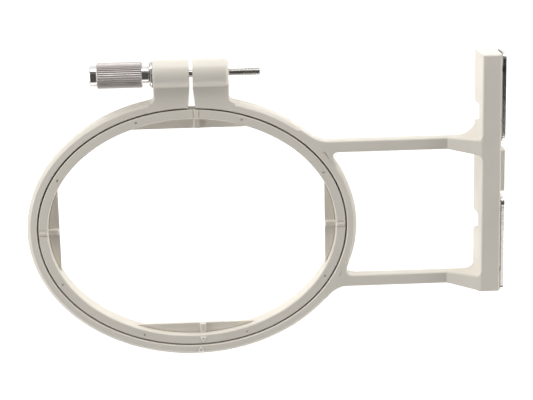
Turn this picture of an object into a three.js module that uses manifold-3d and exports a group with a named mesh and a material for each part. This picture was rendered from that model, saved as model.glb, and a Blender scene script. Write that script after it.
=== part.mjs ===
// Machine embroidery hoop: a split outer frame with a clamp screw, a lift-out inner hoop,
// and a channel-shaped connector that two spring clips latch onto an embroidery arm.
// Millimetres, +Z up, +X from the oval towards the connector, +Y towards the clamp screw.

import * as THREE from 'three';
import { mergeVertices } from 'three/addons/utils/BufferGeometryUtils.js';
import Module from 'manifold-3d';

// Oval rings: sizes are taken from the line where the two rings meet
const OVAL_HALF_LENGTH = 79.85;
const OVAL_HALF_WIDTH = 63.15;
const RING_PLAY = 0.4;
const OUTER_RING_WIDTH = 5.4;
const INNER_RING_WIDTH = 4.9;
const RING_HEIGHT = 10.5;
const OUTER_EDGE_ROUND = 1.3;
const INNER_EDGE_ROUND = 1.0;
const MEETING_CHAMFER = 0.7;
const FOOT_CHAMFER = 0.4;

// Ledge of the inner hoop, with its four centre ribs and sighting marks
const FIELD_HALF_X = 69;
const FIELD_HALF_Y = 52.5;
const LEDGE_DROP = 4.2;
const LEDGE_THICKNESS = 2;
const RIB_WIDTH = 3;
const RIB_HEIGHT = 1;
const RIB_CHAMFER = 0.6;
const CROSS_MARK_X = 3.8;
const MARK_DEPTH = 0.35;
const MARK_LINE = 0.5;
const ARROW_WIDTH = 3.2;
const ARROW_LENGTH = 2.8;

// Clamp lugs and the slit between them
const SLIT_X = 1.7;
const SLIT_WIDTH = 1.8;
const SLIT_MOUTH = 4.2;
const LUG_WIDTH = 18.4;
const LUG_ROUND = 1.5;
const LUG_FILLET = 2.5;
const BARREL_RADIUS = 7.3;
const LUG_REACH = 12.35;
const SCREW_Z = 7.4;

// Clamp screw, knob, washers and nut
const SHANK_RADIUS = 1.95;
const THREAD_PITCH = 0.7;
const THREAD_DEPTH = 0.35;
const SCREW_PLAY = 0.1;
const SCREW_TIP_REACH = 15.9;
const TIP_CHAMFER = 0.4;
const SHANK_IN_KNOB = 16;
const KNOB_RADIUS = 6.6;
const KNOB_LENGTH = 23;
const KNURL_COUNT = 40;
const KNURL_DEPTH = 0.35;
const NECK_RADIUS = 4.3;
const NECK_LENGTH = 3.4;
const BOSS_RADIUS = 5.4;
const BOSS_LENGTH = 3.9;
const BOSS_CHAMFER = 1.1;
const WASHER_RADIUS = 6.9;
const WASHER_THICKNESS = 0.8;
const SPRING_WASHER_RADIUS = 6;
const SPRING_WASHER_THICKNESS = 0.7;
const NUT_ACROSS = 7;
const NUT_THICKNESS = 3.2;
const NUT_PLAY = 0.2;
const NUT_DEPTH = 8;
const SEAT_GAP = 0.1;

// Arms between the oval and the connector
const ARM_WIDTH = 6.4;
const UPPER_ARM_Y = 41.2;
const LOWER_ARM_Y = -30.9;
const ARM_HEIGHT = 7;
const ARM_ROUND = 1.2;
const ARM_CORE_WIDTH = 3.2;
const ARM_CORE_DEPTH = 4.4;
const ARM_RING_FILLET = 6;
const RAMP_LENGTH = 16;
const RAMP_TOP_FILLET = 2.5;
const UPPER_RAMP_ROOTS = { below: 2.5, above: 10 };
const LOWER_RAMP_ROOTS = { below: 2.4, above: 6 };

// Connector channel
const ARM_REACH = 62.55;
const CONNECTOR_WIDTH = 10.7;
const CONNECTOR_DRAFT = 0.7;
const CONNECTOR_HEIGHT = 20.2;
const CONNECTOR_TOP_Y = 88.3;
const CONNECTOR_FOOT_Y = -36.5;
const CONNECTOR_ROUND = 1.5;
const CHANNEL_WALL = 1.6;
const CHANNEL_ROOF = 2;
const END_WALL = 2.2;
const NOTCH_HEIGHT = 12;
const NOTCH_TOP_WIDTH = 7.3;
const NOTCH_FOOT_WIDTH = 9.8;
const UPPER_NOTCH_Y = 61.4;
const LOWER_NOTCH_Y = 3.5;

// Centre stop and its screws
const STOP_Y = 28;
const STOP_LENGTH = 22.2;
const STOP_BLOCK_LENGTH = 11;
const STOP_BLOCK_HEIGHT = 8;
const STOP_PLAY = 0.15;
const STOP_SCREW_SPACING = 6;
const SPRING_PEG_RADIUS = 1.4;
const SPRING_PEG_LENGTH = 2.2;

// Spring clips: finger grip, latch plate, coil spring, shoulder screw, rivet and washer
const CLIP_TRAVEL = 3.2;
const CLIP_STOP_GAP = 0.3;
const CLIP_OVERHANG = 0.3;
const GRIP_DEPTH = 2.3;
const GRIP_SHEET = 0.8;
const GRIP_TOP = 18.7;
const GRIP_FOOT = 0.4;
const GRIP_ROUND = 1.2;
const GRIP_WALL_GAP = 0.2;
const LATCH_SHEET = 1.2;
const LATCH_Z = 1.8;
const LATCH_SIDE_GAP = 0.35;
const LATCH_SEAT_INSET = 1.3;
const LATCH_SEAT_TOP = 10.6;
const LATCH_TAB_INSET = 8.6;
const LATCH_TAB_HEIGHT = 5;
const TAB_Z = 5;
const PIN_OFFSET = 5;
const PIN_NECK_WIDTH = 3.8;
const HOOK_REACH = 0.4;
const SLIDE_GAP = 0.3;
const GUIDE_INSET = 2.7;
const GUIDE_SHOULDER_RADIUS = 1.3;
const GUIDE_HEAD_RADIUS = 2.5;
const GUIDE_HEAD_HEIGHT = 1;
const GUIDE_THREAD_RADIUS = 1;
const GUIDE_THREAD_LENGTH = 8;
const GUIDE_BOSS_RADIUS = 2.3;
const SCREW_SLOT_WIDTH = 0.7;
const SCREW_SLOT_DEPTH = 0.5;
const RIVET_RADIUS = 1.5;
const RIVET_HEAD_RADIUS = 2.6;
const RIVET_HEAD_HEIGHT = 1;
const RIVET_END_INSET = 9;
const RIVET_Z = 9.5;
const RIVET_WASHER_RADIUS = 3.2;
const RIVET_WASHER_THICKNESS = 0.6;
const SPRING_RADIUS = 2.1;
const SPRING_WIRE = 0.6;
const SPRING_TURNS = 5;
const SPRING_Z = 8;

// How finely curves are cut into flats
const OVAL_STEPS = 96;
const ROUND_STEPS = 3;
const TURN_STEPS = 24;
const SMALL_TURN_STEPS = 12;
const THREAD_STEPS = 10;
const COIL_STEPS = 8;
const COIL_SIDES = 5;
const JOIN = 1;

// Places worked out from the sizes above
const RING_INSIDE = RING_PLAY / 2;
const RING_OUTSIDE = RING_INSIDE + OUTER_RING_WIDTH;
const HOOP_OUTSIDE = -RING_PLAY / 2;
const HOOP_INSIDE = HOOP_OUTSIDE - INNER_RING_WIDTH;
const SCREW_Y = OVAL_HALF_WIDTH + RING_OUTSIDE + LUG_REACH;
const CONNECTOR_X = OVAL_HALF_LENGTH + RING_OUTSIDE + ARM_REACH;
const SLIT_LEFT = SLIT_X - SLIT_WIDTH / 2;
const SLIT_RIGHT = SLIT_X + SLIT_WIDTH / 2;
const LUG_LEFT_X = SLIT_LEFT - LUG_WIDTH;
const LUG_RIGHT_X = SLIT_RIGHT + LUG_WIDTH;
const WASHER_X = LUG_LEFT_X - SEAT_GAP - WASHER_THICKNESS;
const SPRING_WASHER_X = WASHER_X - SEAT_GAP - SPRING_WASHER_THICKNESS;
const NECK_X = SPRING_WASHER_X - SEAT_GAP;
const KNOB_X = NECK_X - NECK_LENGTH;
const NUT_X = LUG_RIGHT_X - NUT_DEPTH;
const LEDGE_TOP = RING_HEIGHT - LEDGE_DROP;
const ARM_FOOT = RING_HEIGHT - ARM_HEIGHT;
const CONNECTOR_RIGHT = CONNECTOR_X + CONNECTOR_WIDTH;
const RAMP_X = CONNECTOR_X + CONNECTOR_DRAFT - RAMP_LENGTH;
const CHANNEL_LEFT = CONNECTOR_X + CONNECTOR_DRAFT + CHANNEL_WALL;
const CHANNEL_RIGHT = CONNECTOR_RIGHT - CHANNEL_WALL;
const CHANNEL_MID = (CHANNEL_LEFT + CHANNEL_RIGHT) / 2;
const CHANNEL_TOP = CONNECTOR_HEIGHT - CHANNEL_ROOF;
const GRIP_INNER_X = CONNECTOR_RIGHT + GRIP_WALL_GAP;
const GRIP_OUTER_X = GRIP_INNER_X + GRIP_DEPTH;
const LATCH_TOP = LATCH_Z + LATCH_SHEET;
const BLOCK_FOOT = LATCH_TOP + SLIDE_GAP;
const BLOCK_TOP = BLOCK_FOOT + STOP_BLOCK_HEIGHT;
const GRIP_START = STOP_LENGTH / 2 + CLIP_TRAVEL + CLIP_STOP_GAP;
const SIDES = [
  { name: 'upper', dir: 1, end: CONNECTOR_TOP_Y, pin: UPPER_NOTCH_Y - PIN_OFFSET },
  { name: 'lower', dir: -1, end: CONNECTOR_FOOT_Y, pin: LOWER_NOTCH_Y - PIN_OFFSET },
];

const MATERIALS = {
  frame: new THREE.MeshStandardMaterial({ color: 0xd6d1c7, roughness: 0.5, metalness: 0 }),
  hoop: new THREE.MeshStandardMaterial({ color: 0xd4cfc6, roughness: 0.5, metalness: 0 }),
  stop: new THREE.MeshStandardMaterial({ color: 0xc9bfb0, roughness: 0.55, metalness: 0 }),
  chrome: new THREE.MeshStandardMaterial({ color: 0xd9d9da, roughness: 0.12, metalness: 1 }),
  steel: new THREE.MeshStandardMaterial({ color: 0xa9abad, roughness: 0.3, metalness: 1 }),
  spring: new THREE.MeshStandardMaterial({ color: 0x8e9093, roughness: 0.35, metalness: 1 }),
  brass: new THREE.MeshStandardMaterial({ color: 0xb99a58, roughness: 0.35, metalness: 1 }),
};

const wasm = await Module();
wasm.setup();

// Solids and geometries

function toSolid(geometry) {
  const bare = geometry.clone();
  bare.deleteAttribute('normal');
  bare.deleteAttribute('uv');
  const merged = mergeVertices(bare, 1e-4);
  return new wasm.Manifold(new wasm.Mesh({
    numProp: 3,
    vertProperties: new Float32Array(merged.attributes.position.array),
    triVerts: new Uint32Array(merged.index.array),
  }));
}

function toGeometry(solid) {
  const mesh = solid.getMesh();
  const geometry = new THREE.BufferGeometry();
  geometry.setAttribute('position', new THREE.BufferAttribute(new Float32Array(mesh.vertProperties), 3));
  geometry.setIndex(new THREE.BufferAttribute(new Uint32Array(mesh.triVerts), 1));
  geometry.computeVertexNormals();
  return geometry;
}

function union(solids) {
  return solids.reduce((whole, solid) => whole.add(solid));
}

function without(solid, cuts) {
  return cuts.reduce((rest, cut) => rest.subtract(cut), solid);
}

function box(x0, x1, y0, y1, z0, z1) {
  const geometry = new THREE.BoxGeometry(x1 - x0, y1 - y0, z1 - z0);
  geometry.translate((x0 + x1) / 2, (y0 + y1) / 2, (z0 + z1) / 2);
  return toSolid(geometry);
}

// A prism whose outline holds [x, y] points and runs from z0 to z1
function prismZ(outline, z0, z1) {
  const shape = new THREE.Shape(outline.map(([x, y]) => new THREE.Vector2(x, y)));
  const geometry = new THREE.ExtrudeGeometry(shape, { depth: z1 - z0, bevelEnabled: false });
  geometry.translate(0, 0, z0);
  return toSolid(geometry);
}

// A prism whose outline holds [y, z] points and runs from x0 to x1
function prismX(outline, x0, x1) {
  const shape = new THREE.Shape(outline.map(([y, z]) => new THREE.Vector2(y, z)));
  const geometry = new THREE.ExtrudeGeometry(shape, { depth: x1 - x0, bevelEnabled: false });
  const turn = new THREE.Matrix4().makeBasis(
    new THREE.Vector3(0, 1, 0),
    new THREE.Vector3(0, 0, 1),
    new THREE.Vector3(1, 0, 0),
  );
  geometry.applyMatrix4(turn);
  geometry.translate(x0, 0, 0);
  return toSolid(geometry);
}

// A prism whose outline holds [x, z] points and runs from y0 to y1
function prismY(outline, y0, y1) {
  const shape = new THREE.Shape(outline.map(([x, z]) => new THREE.Vector2(z, x)));
  const geometry = new THREE.ExtrudeGeometry(shape, { depth: y1 - y0, bevelEnabled: false });
  const turn = new THREE.Matrix4().makeBasis(
    new THREE.Vector3(0, 0, 1),
    new THREE.Vector3(1, 0, 0),
    new THREE.Vector3(0, 1, 0),
  );
  geometry.applyMatrix4(turn);
  geometry.translate(0, y0, 0);
  return toSolid(geometry);
}

// Points of a quarter circle or other arc, from angle a0 to a1 in degrees
function arc(u, v, radius, a0, a1, steps = ROUND_STEPS) {
  const points = [];
  for (let i = 0; i <= steps; i += 1) {
    const angle = THREE.MathUtils.degToRad(a0 + (a1 - a0) * i / steps);
    points.push([u + radius * Math.cos(angle), v + radius * Math.sin(angle)]);
  }
  return points;
}

function roundedBox2D(u0, u1, v0, v1, radius) {
  return [
    ...arc(u1 - radius, v0 + radius, radius, -90, 0),
    ...arc(u1 - radius, v1 - radius, radius, 0, 90),
    ...arc(u0 + radius, v1 - radius, radius, 90, 180),
    ...arc(u0 + radius, v0 + radius, radius, 180, 270),
  ];
}

// An outline with straight sides and two round ends, as a guide slot has
function slotOutline(u0, u1, v, radius) {
  return [
    ...arc(u1 - radius, v, radius, -90, 90, SMALL_TURN_STEPS / 2),
    ...arc(u0 + radius, v, radius, 90, 270, SMALL_TURN_STEPS / 2),
  ];
}

// A turned piece from [radius, length] points that start and end on its axis, standing on +Z
function turned(profile, steps = TURN_STEPS) {
  const points = profile.map(([radius, length]) => new THREE.Vector2(radius, length));
  const geometry = new THREE.LatheGeometry(points, steps);
  geometry.rotateX(Math.PI / 2);
  return geometry;
}

function turnedZ(profile, x, y, z, steps) {
  const geometry = turned(profile, steps);
  geometry.translate(x, y, z);
  return toSolid(geometry);
}

function turnedX(profile, x, y, z, steps) {
  const geometry = turned(profile, steps);
  geometry.rotateY(Math.PI / 2);
  geometry.translate(x, y, z);
  return toSolid(geometry);
}

function rod(radius, length) {
  return [[0, 0], [radius, 0], [radius, length], [0, length]];
}

// A closed body through rings of the same number of [x, y, z] points, lowest ring first
function loft(rings) {
  const count = rings[0].length;
  const top = (rings.length - 1) * count;
  const plan = rings[0].map(([x, y]) => new THREE.Vector2(x, y));
  const index = [];
  THREE.ShapeUtils.triangulateShape(plan, []).forEach(([a, b, c]) => {
    index.push(c, b, a, a + top, b + top, c + top);
  });
  for (let start = 0; start < top; start += count) {
    for (let i = 0; i < count; i += 1) {
      const here = start + i;
      const next = start + (i + 1) % count;
      index.push(here, next, next + count, here, next + count, here + count);
    }
  }
  const geometry = new THREE.BufferGeometry();
  geometry.setAttribute('position', new THREE.Float32BufferAttribute(rings.flat(2), 3));
  geometry.setIndex(index);
  return toSolid(geometry);
}

// The oval

function ovalPoint(turn, offset) {
  const x = OVAL_HALF_LENGTH * Math.cos(turn);
  const y = OVAL_HALF_WIDTH * Math.sin(turn);
  const normal = new THREE.Vector2(x / OVAL_HALF_LENGTH ** 2, y / OVAL_HALF_WIDTH ** 2).normalize();
  return [x + offset * normal.x, y + offset * normal.y];
}

function ovalOutline(offset) {
  return Array.from({ length: OVAL_STEPS }, (_, i) => ovalPoint(2 * Math.PI * i / OVAL_STEPS, offset));
}

// Distance from the Y axis to the oval's right half at height y, at the given offset
function ovalX(y, offset) {
  const halfWidth = OVAL_HALF_WIDTH + offset;
  return (OVAL_HALF_LENGTH + offset) * Math.sqrt(1 - (y / halfWidth) ** 2);
}

// Distance from the X axis to the oval's upper half at place x, at the given offset
function ovalY(x, offset) {
  const halfLength = OVAL_HALF_LENGTH + offset;
  return (OVAL_HALF_WIDTH + offset) * Math.sqrt(1 - (x / halfLength) ** 2);
}

// A ring swept round the oval from a closed profile of [offset, z] points
function ovalRing(profile) {
  const count = profile.length;
  const positions = [];
  const index = [];
  for (let i = 0; i < OVAL_STEPS; i += 1) {
    const turn = 2 * Math.PI * i / OVAL_STEPS;
    profile.forEach(([offset, z]) => positions.push(...ovalPoint(turn, offset), z));
  }
  for (let i = 0; i < OVAL_STEPS; i += 1) {
    const here = i * count;
    const there = ((i + 1) % OVAL_STEPS) * count;
    for (let j = 0; j < count; j += 1) {
      const next = (j + 1) % count;
      index.push(here + j, there + j, there + next, here + j, there + next, here + next);
    }
  }
  const geometry = new THREE.BufferGeometry();
  geometry.setAttribute('position', new THREE.Float32BufferAttribute(positions, 3));
  geometry.setIndex(index);
  return toSolid(geometry);
}

// Outer frame

function outerRing() {
  return ovalRing([
    [RING_INSIDE, 0],
    [RING_OUTSIDE - FOOT_CHAMFER, 0],
    [RING_OUTSIDE, FOOT_CHAMFER],
    ...arc(RING_OUTSIDE - OUTER_EDGE_ROUND, RING_HEIGHT - OUTER_EDGE_ROUND, OUTER_EDGE_ROUND, 0, 90),
    [RING_INSIDE, RING_HEIGHT],
  ]);
}

// Room for the inner hoop, widening at the top so that the frame's edge is chamfered
function ovalOpening() {
  const place = (rise) => ovalOutline(RING_INSIDE + rise)
    .map(([x, y]) => [x, y, RING_HEIGHT - MEETING_CHAMFER + rise]);
  return prismZ(ovalOutline(RING_INSIDE), -JOIN, RING_HEIGHT - MEETING_CHAMFER / 2)
    .add(loft([place(-MEETING_CHAMFER), place(MEETING_CHAMFER + JOIN)]));
}

// Barrel and web of one lug: side is -1 left of the slit and 1 right of it
function lug(side) {
  const barrelProfile = [
    [0, 0],
    [BARREL_RADIUS, 0],
    ...arc(LUG_WIDTH - LUG_ROUND, BARREL_RADIUS - LUG_ROUND, LUG_ROUND, 0, 90)
      .reverse().map(([length, radius]) => [radius, length]),
    [0, LUG_WIDTH],
  ];
  const barrel = turned(barrelProfile);
  barrel.rotateY(side * Math.PI / 2);
  barrel.translate(side < 0 ? SLIT_LEFT : SLIT_RIGHT, SCREW_Y, SCREW_Z);
  const face = side < 0 ? LUG_LEFT_X : LUG_RIGHT_X;
  const root = ovalY(face, RING_OUTSIDE) - JOIN;
  const nearSlit = side < 0 ? SLIT_LEFT : SLIT_RIGHT;
  const fillet = arc(face + side * LUG_FILLET, root + LUG_FILLET + JOIN, LUG_FILLET, 270, side < 0 ? 360 : 180);
  const outline = [
    [nearSlit, ovalY(nearSlit, RING_INSIDE)],
    [nearSlit, SCREW_Y],
    [face, SCREW_Y],
    ...fillet.reverse(),
    [face + side * LUG_FILLET, ovalY(face, RING_INSIDE)],
  ];
  if (side > 0) outline.reverse();
  return toSolid(barrel).add(prismZ(outline, 0, RING_HEIGHT));
}

// The slit is parallel between the barrels and opens towards the inside of the oval
function slit() {
  const root = ovalY(SLIT_X, RING_INSIDE);
  const barrelFoot = SCREW_Y - BARREL_RADIUS;
  const outline = [
    [SLIT_X - SLIT_MOUTH / 2, root - JOIN],
    [SLIT_X + SLIT_MOUTH / 2, root - JOIN],
    [SLIT_RIGHT, barrelFoot],
    [SLIT_RIGHT, SCREW_Y + BARREL_RADIUS + JOIN],
    [SLIT_LEFT, SCREW_Y + BARREL_RADIUS + JOIN],
    [SLIT_LEFT, barrelFoot],
  ];
  return prismZ(outline, -JOIN, SCREW_Z + BARREL_RADIUS + JOIN);
}

function screwHole() {
  const length = 2 * LUG_WIDTH + SLIT_WIDTH + 2 * JOIN;
  return turnedX(rod(SHANK_RADIUS + SCREW_PLAY, length), LUG_LEFT_X - JOIN, SCREW_Y, SCREW_Z, SMALL_TURN_STEPS);
}

function nutPocket() {
  const half = NUT_ACROSS / 2 + NUT_PLAY;
  const x0 = NUT_X - NUT_PLAY;
  const x1 = NUT_X + NUT_THICKNESS + NUT_PLAY;
  return box(x0, x1, SCREW_Y - half, SCREW_Y + half, -JOIN, SCREW_Z + half);
}

function arrowMark(x, y, point) {
  const outer = [[x - ARROW_WIDTH / 2, y], [x + ARROW_WIDTH / 2, y], [x, y + point * ARROW_LENGTH]];
  const centre = [x, y + point * ARROW_LENGTH / 3];
  const shrink = 1 - MARK_LINE * 3 / ARROW_LENGTH;
  const inner = outer.map(([u, v]) => [centre[0] + (u - centre[0]) * shrink, centre[1] + (v - centre[1]) * shrink]);
  const order = (points) => (point > 0 ? points : [...points].reverse());
  const top = RING_HEIGHT + JOIN;
  return prismZ(order(outer), RING_HEIGHT - MARK_DEPTH, top)
    .subtract(prismZ(order(inner), RING_HEIGHT - JOIN, top + JOIN));
}

function arm(y) {
  const x0 = ovalX(Math.abs(y) + ARM_WIDTH / 2, RING_INSIDE) + JOIN;
  const outline = roundedBox2D(y - ARM_WIDTH / 2, y + ARM_WIDTH / 2, ARM_FOOT, RING_HEIGHT, ARM_ROUND);
  return prismX(outline, x0, RAMP_X + JOIN);
}

// A pocket moulded into the underside of an arm keeps its walls thin
function armCore(y) {
  const x0 = ovalX(y, RING_OUTSIDE) + ARM_CORE_WIDTH;
  const half = ARM_CORE_WIDTH / 2;
  return box(x0, RAMP_X, y - half, y + half, ARM_FOOT - JOIN, ARM_FOOT + ARM_CORE_DEPTH);
}

// Rounded inner corner where an arm edge at height y meets the oval: side 1 lies above the edge
function ringFillet(y, side) {
  const depth = ARM_ROUND;
  const edge = y - side * depth;
  const corner = new THREE.Vector2(ovalX(y, RING_OUTSIDE), y);
  const ringY = y + side * ARM_RING_FILLET;
  const onRing = new THREE.Vector2(ovalX(ringY, RING_OUTSIDE), ringY);
  const onArm = new THREE.Vector2(corner.x + ARM_RING_FILLET, y);
  const curve = new THREE.QuadraticBezierCurve(onArm, corner, onRing).getPoints(2 * ROUND_STEPS);
  const outline = [
    [onArm.x, edge],
    ...curve.map((point) => [point.x, point.y]),
    [onRing.x - depth, onRing.y],
    [corner.x - depth, edge],
  ];
  if (side < 0) outline.reverse();
  return prismZ(outline, ARM_FOOT, RING_HEIGHT - ARM_ROUND / 2);
}

// Outline of a ramp at one height: it spreads into the channel wall with a fillet on each side
function rampPlan(y, inset, wallX, below, above) {
  const low = y - ARM_WIDTH / 2 + inset;
  const high = y + ARM_WIDTH / 2 - inset;
  const steps = 2 * ROUND_STEPS;
  return [
    [RAMP_X, low],
    ...arc(wallX - below, low - below, below, 90, 0, steps),
    [wallX + JOIN, low - below],
    [wallX + JOIN, high + above],
    ...arc(wallX - above, high + above, above, 360, 270, steps),
    [RAMP_X, high],
  ];
}

// The ramp climbs from the arm to the connector's top, and its edges are rounded like the arm's
function ramp(y, roots) {
  const rise = CONNECTOR_HEIGHT - RING_HEIGHT;
  const rounding = arc(0, 0, ARM_ROUND, 0, 90).map(([u, v]) => [ARM_ROUND - u, ARM_ROUND - v]);
  const foot = [...rounding].reverse().map(([inset, cut]) => (
    rampPlan(y, inset, CONNECTOR_X, roots.below, roots.above)
      .map(([px, py]) => [px, py, ARM_FOOT + cut])
  ));
  const crown = rounding.map(([inset, cut]) => (
    rampPlan(y, inset, CONNECTOR_X + CONNECTOR_DRAFT, RAMP_TOP_FILLET, RAMP_TOP_FILLET)
      .map(([px, py]) => [px, py, RING_HEIGHT - cut + rise * Math.min(1, (px - RAMP_X) / RAMP_LENGTH)])
  ));
  const room = box(
    RAMP_X,
    CONNECTOR_X + CHANNEL_WALL,
    CONNECTOR_FOOT_Y,
    CONNECTOR_TOP_Y,
    0,
    CONNECTOR_HEIGHT - ARM_ROUND / 2,
  );
  return loft([...foot, ...crown]).intersect(room);
}

// Channel body: its long outline and its end outline are both rounded along the top
function connectorShell() {
  const section = [
    [CONNECTOR_X, 0],
    [CONNECTOR_RIGHT, 0],
    ...arc(CONNECTOR_RIGHT - CONNECTOR_ROUND / 2, CONNECTOR_HEIGHT - CONNECTOR_ROUND / 2, CONNECTOR_ROUND / 2, 0, 90),
    ...arc(CONNECTOR_X + CONNECTOR_DRAFT + CONNECTOR_ROUND, CONNECTOR_HEIGHT - CONNECTOR_ROUND, CONNECTOR_ROUND, 90, 180),
  ];
  const side = [
    [CONNECTOR_FOOT_Y, 0],
    [CONNECTOR_TOP_Y, 0],
    ...arc(CONNECTOR_TOP_Y - CONNECTOR_ROUND, CONNECTOR_HEIGHT - CONNECTOR_ROUND, CONNECTOR_ROUND, 0, 90),
    ...arc(CONNECTOR_FOOT_Y + CONNECTOR_ROUND, CONNECTOR_HEIGHT - CONNECTOR_ROUND, CONNECTOR_ROUND, 90, 180),
  ];
  return prismY([...section].reverse(), CONNECTOR_FOOT_Y, CONNECTOR_TOP_Y)
    .intersect(prismX(side, CONNECTOR_X - JOIN, CONNECTOR_RIGHT + JOIN));
}

function channelHollow() {
  return box(
    CHANNEL_LEFT,
    CHANNEL_RIGHT,
    CONNECTOR_FOOT_Y + END_WALL,
    CONNECTOR_TOP_Y - END_WALL,
    -JOIN,
    CHANNEL_TOP,
  );
}

// Notch in the channel's inner wall: one side is upright and the other leans
function wallNotch(y) {
  const outline = [
    [y - NOTCH_FOOT_WIDTH, -JOIN],
    [y, -JOIN],
    [y, NOTCH_HEIGHT],
    [y - NOTCH_TOP_WIDTH, NOTCH_HEIGHT],
    [y - NOTCH_FOOT_WIDTH, 0],
  ];
  return prismX(outline, CONNECTOR_X - JOIN, CHANNEL_LEFT + JOIN);
}

function guideY(side) {
  return STOP_Y + side.dir * (GRIP_START + GUIDE_INSET);
}

function rivetY(side) {
  return side.end - side.dir * RIVET_END_INSET;
}

function span(a, b) {
  return [Math.min(a, b), Math.max(a, b)];
}

// Where the latch plate's side tab lies at rest, along the connector
function tabSpan(side) {
  const near = STOP_Y + side.dir * (GRIP_START + LATCH_TAB_INSET);
  return span(near, near + side.dir * LATCH_SHEET);
}

function guideBoss(side) {
  const length = CHANNEL_TOP + JOIN / 2 - LATCH_TOP - SLIDE_GAP;
  const boss = rod(GUIDE_BOSS_RADIUS, length);
  const bore = rod(GUIDE_THREAD_RADIUS + SEAT_GAP, GUIDE_THREAD_LENGTH + SEAT_GAP + JOIN);
  const z = LATCH_TOP + SLIDE_GAP;
  return turnedZ(boss, CHANNEL_MID, guideY(side), z, SMALL_TURN_STEPS)
    .subtract(turnedZ(bore, CHANNEL_MID, guideY(side), z - JOIN, SMALL_TURN_STEPS));
}

// Slots in the channel's outer wall that the clip's tab and rivet travel in
function wallSlots(side) {
  const [tab0, tab1] = tabSpan(side);
  const [slot0, slot1] = span(tab0, tab1);
  const low = side.dir > 0 ? slot0 - CLIP_TRAVEL - SLIDE_GAP : slot0 - SLIDE_GAP;
  const high = side.dir > 0 ? slot1 + SLIDE_GAP : slot1 + CLIP_TRAVEL + SLIDE_GAP;
  const tabTop = TAB_Z + LATCH_TAB_HEIGHT + SLIDE_GAP;
  const tabSlot = box(CHANNEL_RIGHT - JOIN, CONNECTOR_RIGHT + JOIN, low, high, TAB_Z - SLIDE_GAP, tabTop);
  const radius = RIVET_RADIUS + SLIDE_GAP;
  const [near, far] = span(rivetY(side), rivetY(side) - side.dir * CLIP_TRAVEL);
  const rivetSlot = slotOutline(near - radius, far + radius, RIVET_Z, radius);
  return tabSlot.add(prismX(rivetSlot, CHANNEL_RIGHT - JOIN, CONNECTOR_RIGHT + JOIN));
}

function stopWindow() {
  const half = STOP_BLOCK_LENGTH / 2 + STOP_PLAY;
  const y0 = STOP_Y - half;
  return box(CHANNEL_RIGHT - JOIN, CONNECTOR_RIGHT + JOIN, y0, y0 + 2 * half, BLOCK_FOOT - STOP_PLAY, BLOCK_TOP + STOP_PLAY);
}

function stopScrewY(index) {
  return STOP_Y + (index - 0.5) * STOP_SCREW_SPACING;
}

// Posts from the channel roof that the centre stop is screwed up against
function stopPost(index) {
  const foot = BLOCK_TOP + SEAT_GAP;
  const bore = rod(GUIDE_THREAD_RADIUS + SEAT_GAP, CHANNEL_TOP - foot);
  return turnedZ(rod(GUIDE_BOSS_RADIUS, CHANNEL_TOP + JOIN / 2 - foot), CHANNEL_MID, stopScrewY(index), foot, SMALL_TURN_STEPS)
    .subtract(turnedZ(bore, CHANNEL_MID, stopScrewY(index), foot - JOIN, SMALL_TURN_STEPS));
}

function outerFrame() {
  const body = union([
    outerRing(),
    lug(-1),
    lug(1),
    arm(UPPER_ARM_Y),
    arm(LOWER_ARM_Y),
    ramp(UPPER_ARM_Y, UPPER_RAMP_ROOTS),
    ramp(LOWER_ARM_Y, LOWER_RAMP_ROOTS),
    ringFillet(UPPER_ARM_Y + ARM_WIDTH / 2, 1),
    ringFillet(UPPER_ARM_Y - ARM_WIDTH / 2, -1),
    ringFillet(LOWER_ARM_Y + ARM_WIDTH / 2, 1),
    ringFillet(LOWER_ARM_Y - ARM_WIDTH / 2, -1),
    connectorShell(),
  ]);
  const hollow = without(body, [
    ovalOpening(),
    slit(),
    screwHole(),
    nutPocket(),
    arrowMark(SLIT_X, -ovalY(SLIT_X, RING_OUTSIDE) + OUTER_EDGE_ROUND, 1),
    armCore(UPPER_ARM_Y),
    armCore(LOWER_ARM_Y),
    channelHollow(),
    wallNotch(UPPER_NOTCH_Y),
    wallNotch(LOWER_NOTCH_Y),
    wallSlots(SIDES[0]),
    wallSlots(SIDES[1]),
    stopWindow(),
  ]);
  return union([hollow, guideBoss(SIDES[0]), guideBoss(SIDES[1]), stopPost(0), stopPost(1)]);
}

// Inner hoop

function innerRing() {
  return ovalRing([
    [HOOP_INSIDE + FOOT_CHAMFER, 0],
    [HOOP_OUTSIDE - FOOT_CHAMFER, 0],
    [HOOP_OUTSIDE, FOOT_CHAMFER],
    [HOOP_OUTSIDE, RING_HEIGHT - MEETING_CHAMFER / 2],
    [HOOP_OUTSIDE - MEETING_CHAMFER / 2, RING_HEIGHT],
    ...arc(HOOP_INSIDE + INNER_EDGE_ROUND, RING_HEIGHT - INNER_EDGE_ROUND, INNER_EDGE_ROUND, 90, 180),
    [HOOP_INSIDE, FOOT_CHAMFER],
  ]);
}

function ledge() {
  const foot = LEDGE_TOP - LEDGE_THICKNESS;
  const plate = prismZ(ovalOutline(HOOP_INSIDE + JOIN), foot, LEDGE_TOP);
  const field = box(-FIELD_HALF_X, FIELD_HALF_X, -FIELD_HALF_Y, FIELD_HALF_Y, foot - JOIN, LEDGE_TOP + JOIN);
  return plate.subtract(field);
}

// Outline of a rib's section about the given middle, standing on the ledge
function ribSection(middle) {
  const half = RIB_WIDTH / 2;
  const foot = LEDGE_TOP - LEDGE_THICKNESS / 2;
  const top = LEDGE_TOP + RIB_HEIGHT;
  return [
    [middle - half, foot],
    [middle + half, foot],
    [middle + half, top - RIB_CHAMFER],
    [middle + half - RIB_CHAMFER, top],
    [middle - half + RIB_CHAMFER, top],
    [middle - half, top - RIB_CHAMFER],
  ];
}

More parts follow.
